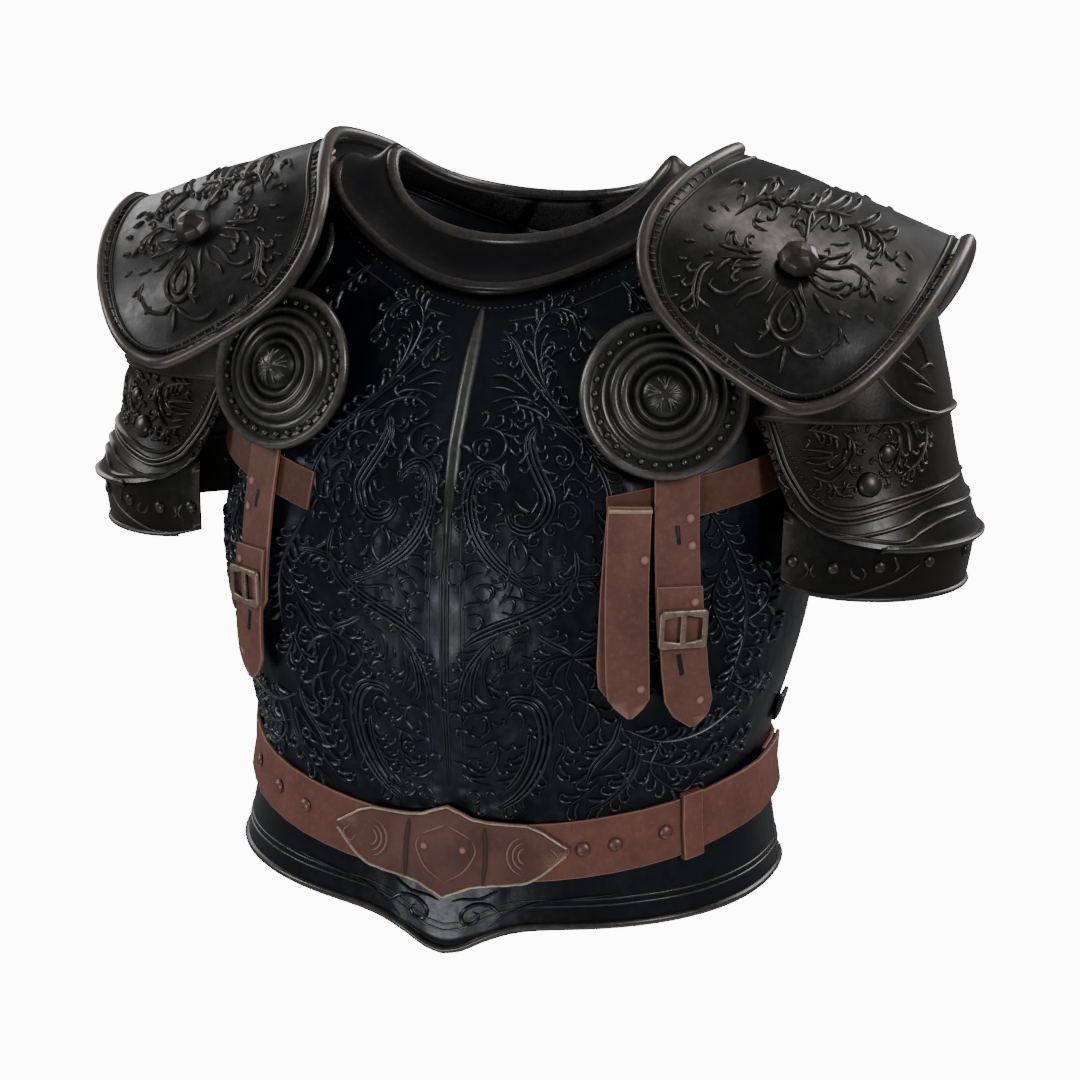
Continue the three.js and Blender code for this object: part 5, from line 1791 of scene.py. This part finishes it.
    def tuck(self, obj: Piece) -> None:
        """Draws the upper corners of the lower lame up under the arm plate's raised corners.

        Args:
            obj: the lower lame.
        """
        points = points_of(obj)
        x = points[:, 0] * self.side.value - self.arm_x
        turn = np.degrees(np.abs(np.arctan2(points[:, 1], x)))
        share = np.clip((turn - 45) / 44, 0, 1) ** 1.5 * np.clip((points[:, 2] + 0.232) / 0.04, 0, 1)
        points[:, 2] += self.tuck_rise * share
        points[:, 0] -= self.side.value * x * self.tuck_in * share
        points[:, 1] -= points[:, 1] * self.tuck_in * share
        move_points(obj, points)

    def lame(self, node: str, rows: tuple[StrokeRow, ...]) -> None:
        """A lame with its flutes or bosses.

        Args:
            node: the CAD node without its side.
            rows: the strokes of its front half.
        """
        word = self.side.word
        obj = self.skin(node, 2, 70)
        if node == "lower_lame":
            self.tuck(obj)
        ground = Ground(obj, round_axis(self.arm_x, self.side.value))
        chaser = Chaser(ground, step=1.8, lift=0.6)
        self.mirrored_behind(chaser, rows)
        if node == "lower_lame":
            edge = [(u, -232 + 8 * abs(u / 89) ** 5 + 2.4) for u in range(-86, 87, 4)]
            chaser.stroke(3.4, 1, edge, taper=False)
            spots = [s for s in (ground.seat(u, v) for u, v in LAME_BOSSES) if s]
            bosses = strewn(f"lame_bosses_{word}", bead_shape(0.0042, 0.6, 2), spots)
            settle(bosses, Finish.ARM)
        else:
            chaser.stroke(3.2, 1, [(u, -121.0) for u in range(-30, 31, 4)])
        settle(chaser.done(f"{node}_ornament_{word}"), Finish.ARM)
        sharp_edge_sheen_and_rubbing(obj, 50, 0.8)
        settle(obj, Finish.ARM, Slot.STEEL, 45, (f"{node}_{word}",))


def smooth_closed(points: Sequence[Vector], count: int) -> list[Point3]:
    """A smooth closed curve through points.

    Args:
        points: the points it passes through.
        count: how many points it is cut into.

    Returns:
        Its points.
    """
    ring = [np.array(p) for p in points]
    size = len(ring)
    curve = []
    for index in range(count):
        at = index * size / count
        whole, t = int(at), at - int(at)
        curve.append(tuple(between(*(ring[(whole + k) % size] for k in (-1, 0, 1, 2)), t)))
    return curve


def rosette(radius: float) -> Piece:
    """A small flower of six petals round a bead, shaped from a turned dome.

    Args:
        radius: how far its petals reach, in metres.

    Returns:
        The flower.
    """
    profile = [(0, 0.0011), (radius * 0.3, 0.0009), (radius * 0.42, 0.0004), (radius * 0.7, 0.001),
               (radius, 0.0002), (radius, -0.0004)]
    obj = turned("rosette", profile, 18)
    points = points_of(obj)
    turn = np.arctan2(points[:, 1], points[:, 0])
    reach = np.hypot(points[:, 0], points[:, 1])
    pull = 1 - 0.22 * (reach > radius * 0.6) * (0.5 - 0.5 * np.cos(6 * turn))
    points[:, 0] *= pull
    points[:, 1] *= pull
    move_points(obj, points)
    return obj


# A roundel's section from the middle of its face over its edge to its back, as radius and height in mm
DISC_PROFILE: tuple[Point2, ...] = (
    (0, 13), (4, 12.8), (8, 11.8), (11.5, 9.6), (13.6, 7.2), (14.6, 6.0), (15.4, 7.0), (16.6, 7.9), (18, 7.2),
    (19, 5.0), (20, 4.6), (21, 5.6), (22.4, 7.4), (24, 8.0), (25.6, 7.2), (26.6, 5.4), (27.6, 5.2),
    (28.8, 6.2), (30.4, 6.6), (32, 5.6), (33, 3.6), (34.2, 2.6), (36, 2.8), (37, 3.2), (38, 2.2), (39.2, 1.2),
    (43.5, 1.2), (44.8, 2.0), (46, 3.6), (48, 4.4), (50, 3.2), (50.8, 1.0), (50, -1.6),
    (48, -3.0), (45, -2.6), (43, -0.9),
    (34, 0.3), (22, 3.8), (12, 5.6), (0, 10.8))
DISC_EDGE = 50.8
# Where the roundel is brightened by rubbing and by a painted highlight on its rims and crests: radius, width
# and how much
DISC_WEAR_AND_SHEEN: tuple[Point3, ...] = ((48, 3, 1.0), (37, 1.2, 0.8), (30, 2, 0.75), (24, 2, 0.75), (16.6, 1.4, 0.8),
                                 (0, 9, 0.4))


@dataclass
class Roundel:
    """One armpit disc, turned in rings with a leafed dome.

    Attributes:
        side: which armpit.
        radius: the disc's radius, in mm.
        yaw, pitch: how it is turned out and up, in degrees.
        beads, bead_ring: how many beads there are and the radius of their ring, in mm.
        petals, dome: how many leaves there are and how far they reach, in mm.
    """

    side: Side
    radius: float = 50
    yaw: float = 15
    pitch: float = 14
    beads: int = 30
    bead_ring: float = 41.3
    petals: int = 5
    dome: float = 12.5

    def frame(self) -> Matrix:
        """The disc's own frame in the row frame, found from its solid.

        Returns:
            The matrix that puts the disc in its place.
        """
        yaw, pitch = math.radians(self.yaw), math.radians(self.pitch)
        level = math.cos(pitch)
        normal = Vector((math.sin(yaw) * level * self.side.value, -math.cos(yaw) * level, math.sin(pitch)))
        points = points_of(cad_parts[f"roundel_{self.side.word}"])
        axis = np.array(normal)
        centre = points.mean(0)
        for _ in range(6):
            flat = points - centre
            flat = flat - np.outer(flat @ axis, axis)
            reach = np.linalg.norm(flat, axis=1)
            centre = points[reach > reach.max() * 0.93].mean(0)
        across = Vector((math.cos(yaw), math.sin(yaw) * self.side.value, 0)).normalized()
        up = normal.cross(across).normalized()
        across = up.cross(normal)
        turn = Matrix((across, up, normal)).transposed().to_4x4()
        return Matrix.Translation(Vector(centre)) @ turn

    def build(self) -> None:
        """Turns the disc, strews its beads and chases the leaves on its dome."""
        scale = self.radius / DISC_EDGE
        obj = turned(f"disc_{self.side.word}", [(a * MM * scale, b * MM) for a, b in DISC_PROFILE], 96)
        points = points_of(obj)
        reach = np.hypot(points[:, 0], points[:, 1]) / MM / scale
        worn = np.zeros(len(points))
        for peak, width, level in DISC_WEAR_AND_SHEEN:
            worn = np.maximum(worn, level * np.exp(-(((reach - peak) / width) ** 2)))
        mark(obj, worn * (points[:, 2] > 0.0005))
        place = self.frame()
        leaves = self.leaves(obj)
        spots = []
        for step in range(self.beads):
            turn = 2 * math.pi * step / self.beads
            spot = Vector((self.bead_ring * math.cos(turn), self.bead_ring * math.sin(turn), 1.3))
            spots.append((spot * MM * scale, Vector((0, 0, 1))))
        beads = strewn(f"disc_beads_{self.side.word}", bead_shape(0.0021, 0.85, 2), spots)
        for piece in (obj, leaves, beads):
            piece.data.transform(place)
        settle(leaves, Finish.DISC)
        settle(beads, Finish.DISC)
        settle(obj, Finish.DISC, Slot.STEEL, 50, (f"roundel_{self.side.word}",))

    def leaves(self, disc: Piece) -> Piece:
        """Curling leaves on the dome, before the disc is put in its place.

        Args:
            disc: the disc, lying flat.

        Returns:
            The leaves as one piece.
        """
        def from_above(u: float, v: float) -> Seat:
            """A ray straight down at x and y in mm."""
            return Vector((u * MM, v * MM, 0.1)), Vector((0, 0, -1))

        chaser = Chaser(Ground(disc, from_above), step=0.8, lift=0.6)
        for petal in range(self.petals):
            spin = math.radians(petal * 360 / self.petals + 20)
            for bend in (0.5, -0.35, 0.05):
                path = []
                for share in (0.15, 0.4, 0.65, 0.9):
                    turn = spin + bend * share
                    path.append((self.dome * share * math.cos(turn), self.dome * share * math.sin(turn)))
                chaser.stroke(1.8, 1, path)
        return chaser.done(f"disc_leaves_{self.side.word}")


@dataclass
class Leatherwork:
    """Straps, tails and buckles.

    Attributes:
        bevel: how far the leather's edges are rounded, in metres.
        least_bend: the least bend of an edge that wears, in degrees.
        wear: how much rubbing and painted sheen those edges get.
    """

    bevel: float = 0.0009
    least_bend: float = 18
    wear: float = 0.55

    def build(self) -> None:
        """Dresses every strap and buckle."""
        for side in Side:
            word = side.word
            for node in ("roundel_strap", "strap_tail"):
                self.strap(f"{node}_{word}", Finish.LEATHER)
            self.strap(f"arm_strap_{word}", Finish.INNER)
            self.strap(f"shoulder_strap_{word}", Finish.LEATHER)
            self.strap(f"arm_leather_{word}", Finish.LEATHER)
            self.buckle(f"strap_buckle_{word}")
            self.buckle(f"shoulder_buckle_{word}")
        self.strap("loose_tail_back", Finish.LEATHER)
        self.strap("loose_tail_front", Finish.LEATHER)
        self.rivets()
        self.folds_and_slots()

    def strap(self, node: str, finish: Finish) -> None:
        """A strap with rounded edges that are brightened by rubbing and painted sheen.

        Args:
            node: the CAD node.
            finish: its leather.
        """
        obj = merged_copy(node, f"{node}_hide")
        rounded(obj, self.bevel, 50)
        self.edge_wear(obj)
        settle(obj, finish, Slot.LEATHER, 35, (node,))

    def edge_wear(self, obj: Piece) -> None:
        """Marks the narrow faces of the rounded edges with rubbing and painted sheen.

        Args:
            obj: the piece.
        """
        shape = bmesh.new()
        shape.from_mesh(obj.data)
        values = np.zeros(len(shape.verts))
        for vertex in shape.verts:
            angles = [e.calc_face_angle(0.0) for e in vertex.link_edges if e.is_manifold]
            if angles and max(angles) > math.radians(self.least_bend):
                values[vertex.index] = self.wear
        shape.free()
        mark(obj, values)

    def buckle(self, node: str) -> None:
        """A buckle whose bars are rounded.

        Args:
            node: the CAD node.
        """
        obj = merged_copy(node, f"{node}_frame")
        rounded(obj, 0.0011, 40)
        sharp_edge_sheen_and_rubbing(obj, 25, 0.6)
        settle(obj, Finish.PALE, Slot.FITTINGS, 50, (node,))

    def rivets(self) -> None:
        """Pressed round marks on the straps, as in the photo's rows."""
        seats = []
        for x, z in ((139, -178), (141, -194), (145, -227), (148, -290)):
            for side in Side:
                seats.append(self.front_seat(side.value * x, z))
        seats += [self.front_seat(117, -280), self.front_seat(117, -201)]
        seats = [s for s in seats if s]
        settle(strewn("strap_rivets", bead_shape(0.0031, 0.3, 2), seats), Finish.BELT, Slot.LEATHER, 60)

    def folds_and_slots(self) -> None:
        """Dark slots in the long straps, and the pale fold at the top of the loose tail."""
        for side in Side:
            for node, name, width, path in (
                    ("roundel_strap", "strap_slot", 3.6, ((132.5, -182), (134, -193))),
                    ("strap_tail", "tail_slot", 3.8, ((137, -259), (139, -272)))):
                strap = Ground(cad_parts[f"{node}_{side.word}"], from_front(side.value, -1))
                slots = Chaser(strap, step=1, lift=0.12)
                slots.stroke(width, 1, path, taper=False)
                settle(slots.done(f"{name}_{side.word}"), Finish.CHEST, Slot.LEATHER, 60)
        tail = Ground(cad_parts["loose_tail_front"], from_front(1, -1))
        low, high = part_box("loose_tail_front")
        left, right, height = low[0] / MM + 1.5, high[0] / MM - 1.5, high[2] / MM - 3
        row = [x for x in np.linspace(left, right, 40) if tail.seat(x, height)]
        fold = Chaser(tail, step=1, lift=0.4)
        fold.stroke(2.6, 1, [(row[0], height), (row[-1], height)], taper=False)
        settle(fold.done("tail_fold"), Finish.EDGE, Slot.LEATHER, 60)

    def front_seat(self, x: float, z: float) -> Seat | None:
        """The foremost leather at x and z in mm.

        Args:
            x: how far to the wearer's left.
            z: how high.

        Returns:
            Its place and normal, or None where there is none.
        """
        best = None
        for name in ("roundel_strap_left", "roundel_strap_right", "strap_tail_left", "strap_tail_right",
                     "loose_tail_front"):
            seat = Ground(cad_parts[name], from_front(1, -1)).seat(x, z)
            if seat and (best is None or seat[0].y < best[0].y):
                best = seat
        return best


@dataclass
class Belt:
    """The waist belt with its plate, keeper, studs and the side clasps.

    Attributes:
        leather: makes the straps.
        middle: the height of the belt's middle line, in mm.
        plate_turn: how far the plate reaches to each side, in degrees.
        inset: how far in its pale edge line runs, in mm.
        arcs: radii of the arcs at each end of the plate, in mm.
        arc_turn: where the arcs' centre is, in degrees from the middle.
        degree_share: how many degrees one mm along the plate is.
    """

    leather: Leatherwork
    middle: float = -392
    plate_turn: float = 29.0
    inset: float = 0.9
    arcs: tuple[float, ...] = (5, 8.5, 12)
    arc_turn: float = 19
    degree_share: float = 0.36

    def build(self) -> None:
        """Dresses the belt."""
        for node in ("belt_front", "belt_back", "belt_keeper"):
            self.leather.strap(node, Finish.BELT)
        self.plate()
        for index in range(1, 7):
            self.stud(f"belt_stud_{index}")
        for side in Side:
            self.clasp(f"side_clasp_{side.word}")

    def plate(self) -> None:
        """The pointed plate: panels, arcs, a shield and a pale edge line."""
        obj = merged_copy("belt_plate", "plate_hide")
        rounded(obj, 0.0007, 50)
        ground = Ground(obj, round_torso)
        self.panels(ground)
        self.lines(ground)
        self.edge_line(ground)
        spots = [s for s in (ground.seat(u, self.middle) for u in (-5.3, 4.2)) if s]
        settle(strewn("plate_studs", bead_shape(0.0024, 0.5, 2), spots), Finish.BELT, Slot.LEATHER, 60)
        self.leather.edge_wear(obj)
        settle(obj, Finish.PLATE, Slot.LEATHER, 35, ("belt_plate",))

    def panels(self, ground: Ground) -> None:
        """The two dark bands that part the plate into panels.

        Args:
            ground: the plate's surface.
        """
        panels = Chaser(ground, step=1.2, lift=0.14)
        for sign in (1, -1):
            panels.stroke(4.2, 1, [(sign * 9.3, -376), (sign * 9.7, -394), (sign * 9.3, -414)], height=0.8)
        settle(panels.done("plate_panels"), Finish.DEEP, Slot.LEATHER, 60)

    def lines(self, ground: Ground) -> None:
        """The arcs, the shield and the small diamond at each end.

        Args:
            ground: the plate's surface.
        """
        lines = Chaser(ground, step=1.2, lift=0.5)
        for sign in (1, -1):
            for radius in self.arcs:
                arc = []
                for turn in (math.radians(t) for t in range(-80, 81, 20)):
                    u = sign * (self.arc_turn - radius * self.degree_share * math.cos(turn))
                    arc.append((u, self.middle + radius * math.sin(turn)))
                lines.stroke(1.7, 1, arc)
            lines.stroke(1.3, 1, [(sign * 6.4, -385), (sign * 7.2, -393), (sign * 4.6, -405), (0, -413)])
            lines.stroke(1.3, 1, [(0, -377), (sign * 3.4, -381), (sign * 6.4, -385)])
            diamond = [(sign * 24, -386), (sign * 26, -392), (sign * 24, -397), (sign * 22.5, -392)]
            lines.stroke(1.3, 1, diamond)
        settle(lines.done("plate_lines"), Finish.PLATE, Slot.LEATHER, 60)

    def edge_line(self, ground: Ground) -> None:
        """The pale line just inside the plate's outline, which is found by rays.

        Args:
            ground: the plate's surface.
        """
        edge = Chaser(ground, step=1.0, lift=0.6)
        upper, lower = [], []
        for degrees in np.linspace(-self.plate_turn, self.plate_turn, 47):
            met = [z for z in np.arange(self.middle - 40, self.middle + 40, 0.4) if ground.seat(degrees, z)]
            if met:
                upper.append((degrees, max(met) - self.inset))
                lower.append((degrees, min(met) + self.inset))
        for line in (upper, lower):
            edge.stroke(1.6, 1, line, taper=False)
        settle(edge.done("plate_edge_line"), Finish.EDGE, Slot.FITTINGS, 60)

    def stud(self, node: str) -> None:
        """A round stud, smoothed from its solid.

        Args:
            node: the CAD node.
        """
        obj = merged_copy(node, f"{node}_dome")
        crease_corners(obj, 80)
        apply_modifier(obj, "SUBSURF", levels=2, render_levels=2)
        settle(obj, Finish.RIVET, Slot.FITTINGS, 60, (node,))

    def clasp(self, node: str) -> None:
        """A small steel clasp with rounded edges.

        Args:
            node: the CAD node.
        """
        obj = merged_copy(node, f"{node}_steel")
        rounded(obj, 0.0008, 50)
        sharp_edge_sheen_and_rubbing(obj, 20, 0.7)
        settle(obj, Finish.ARM, Slot.STEEL, 40, (node,))


# Studio


@dataclass
class Studio:
    """Camera, soft lights and the pale floor.

    Attributes:
        azimuth, elevation, roll: the camera's direction, in degrees.
        distance: how far the camera is from its target, in metres.
        target: what it looks at.
        lens, sensor: its focal length and its sensor's width, in mm.
        crown_highlight: what the lights face.
        floor_z: the floor's height.
        floor_radius: how far the floor reaches, out of the photo's view as there.
        sky_seen, sky_light: how bright the backdrop is to the camera and to the cuirass.
    """

    azimuth: float = 16
    elevation: float = 13
    roll: float = 1.5
    distance: float = 1.5
    target: Point3 = (0.012, 0, -0.229)
    lens: float = 76
    sensor: float = 36
    crown_highlight: Point3 = (0, 0, -0.2)
    floor_z: float = -1.35
    floor_radius: float = 1.15
    sky_seen: float = 12.0
    sky_light: float = 0.17

    def build(self) -> None:
        """Makes the whole studio."""
        self.camera()
        self.lights()
        self.floor()
        self.sky()

    def camera(self) -> None:
        """The camera at the photo's place."""
        a, e, r = (math.radians(v) for v in (self.azimuth, self.elevation, self.roll))
        back = Vector((math.sin(a) * math.cos(e), -math.cos(a) * math.cos(e), math.sin(e)))
        right = Vector((math.cos(a), math.sin(a), 0))
        up = back.cross(right)
        right, up = math.cos(r) * right + math.sin(r) * up, -math.sin(r) * right + math.cos(r) * up
        data = bpy.data.cameras.new("camera")
        data.lens = self.lens
        data.sensor_width = self.sensor
        data.clip_end = 50
        camera = bpy.data.objects.new("camera", data)
        camera.matrix_world = Matrix.Translation(Vector(self.target) + self.distance * back) @ Matrix(
            (right, up, back)).transposed().to_4x4()
        bpy.context.scene.collection.objects.link(camera)
        bpy.context.scene.camera = camera

    def light(self, name: str, place: Point3, size: Point2, power: float, tone: Point3) -> None:
        """A soft box that faces the middle of the cuirass.

        Args:
            name: its name.
            place: where it stands, in metres.
            size: its width and height, in metres.
            power: its power in watts.
            tone: its colour.
        """
        data = bpy.data.lights.new(name, "AREA")
        data.shape = "RECTANGLE"
        data.size, data.size_y = size
        data.energy = power
        data.color = tone
        lamp = bpy.data.objects.new(name, data)
        away = Vector(place) - Vector(self.crown_highlight)
        turn = away.to_track_quat("Z", "Y").to_matrix().to_4x4()
        lamp.matrix_world = Matrix.Translation(Vector(place)) @ turn
        bpy.context.scene.collection.objects.link(lamp)

    def lights(self) -> None:
        """Soft boxes above, in front on both sides, and behind."""
        white, warm = (1, 1, 1), (1, 0.95, 0.9)
        for name, place, size, power, tone in (
                ("key", (-2.2, -0.5, 0.7), (0.5, 0.9), 20, white),
                ("front", (-0.6, -2.3, -0.7), (0.7, 0.5), 13, white),
                ("top", (0.8, 0.3, 2.0), (0.8, 0.6), 20, warm),
                ("fill", (2.0, -1.2, 0.9), (0.5, 1.0), 26, white),
                ("back", (1.4, 1.8, 1.0), (1.4, 1.0), 30, white),
                ("back_left", (-1.8, 1.4, 0.7), (1.2, 1.0), 10, white)):
            self.light(name, place, size, power, tone)

    def floor(self) -> None:
        """A plain pale floor."""
        bpy.ops.object.select_all(action="DESELECT")
        bpy.ops.mesh.primitive_circle_add(vertices=64, radius=self.floor_radius, fill_type="NGON",
                                          location=(0, 0, self.floor_z))
        ground = bpy.context.active_object
        ground.name = "pale_floor"
        ground.data.materials.append(PaleGround().build())

    def sky(self) -> None:
        """A white backdrop that lights the cuirass softly."""
        world = bpy.data.worlds.new("white_studio")
        world.use_nodes = True
        tree = world.node_tree
        tree.nodes.clear()
        end = tree.nodes.new("ShaderNodeOutputWorld")
        seen = tree.nodes.new("ShaderNodeBackground")
        soft = tree.nodes.new("ShaderNodeBackground")
        seen.inputs["Strength"].default_value = self.sky_seen
        soft.inputs["Strength"].default_value = self.sky_light
        for shade in (seen, soft):
            shade.inputs["Color"].default_value = (1, 1, 1, 1)
        pick = tree.nodes.new("ShaderNodeLightPath")
        mixer = tree.nodes.new("ShaderNodeMixShader")
        tree.links.new(pick.outputs["Is Camera Ray"], mixer.inputs[0])
        tree.links.new(soft.outputs[0], mixer.inputs[1])
        tree.links.new(seen.outputs[0], mixer.inputs[2])
        tree.links.new(mixer.outputs[0], end.inputs["Surface"])
        bpy.context.scene.world = world


def main() -> None:
    """Builds the cuirass, piece by piece, and the studio round it."""
    Studio().build()
    Torso().build()
    Collar().build()
    for side in Side:
        Pauldron(side).build()
        Roundel(side).build()
    leather = Leatherwork()
    leather.build()
    Belt(leather).build()


if __name__ == "__main__":
    main()
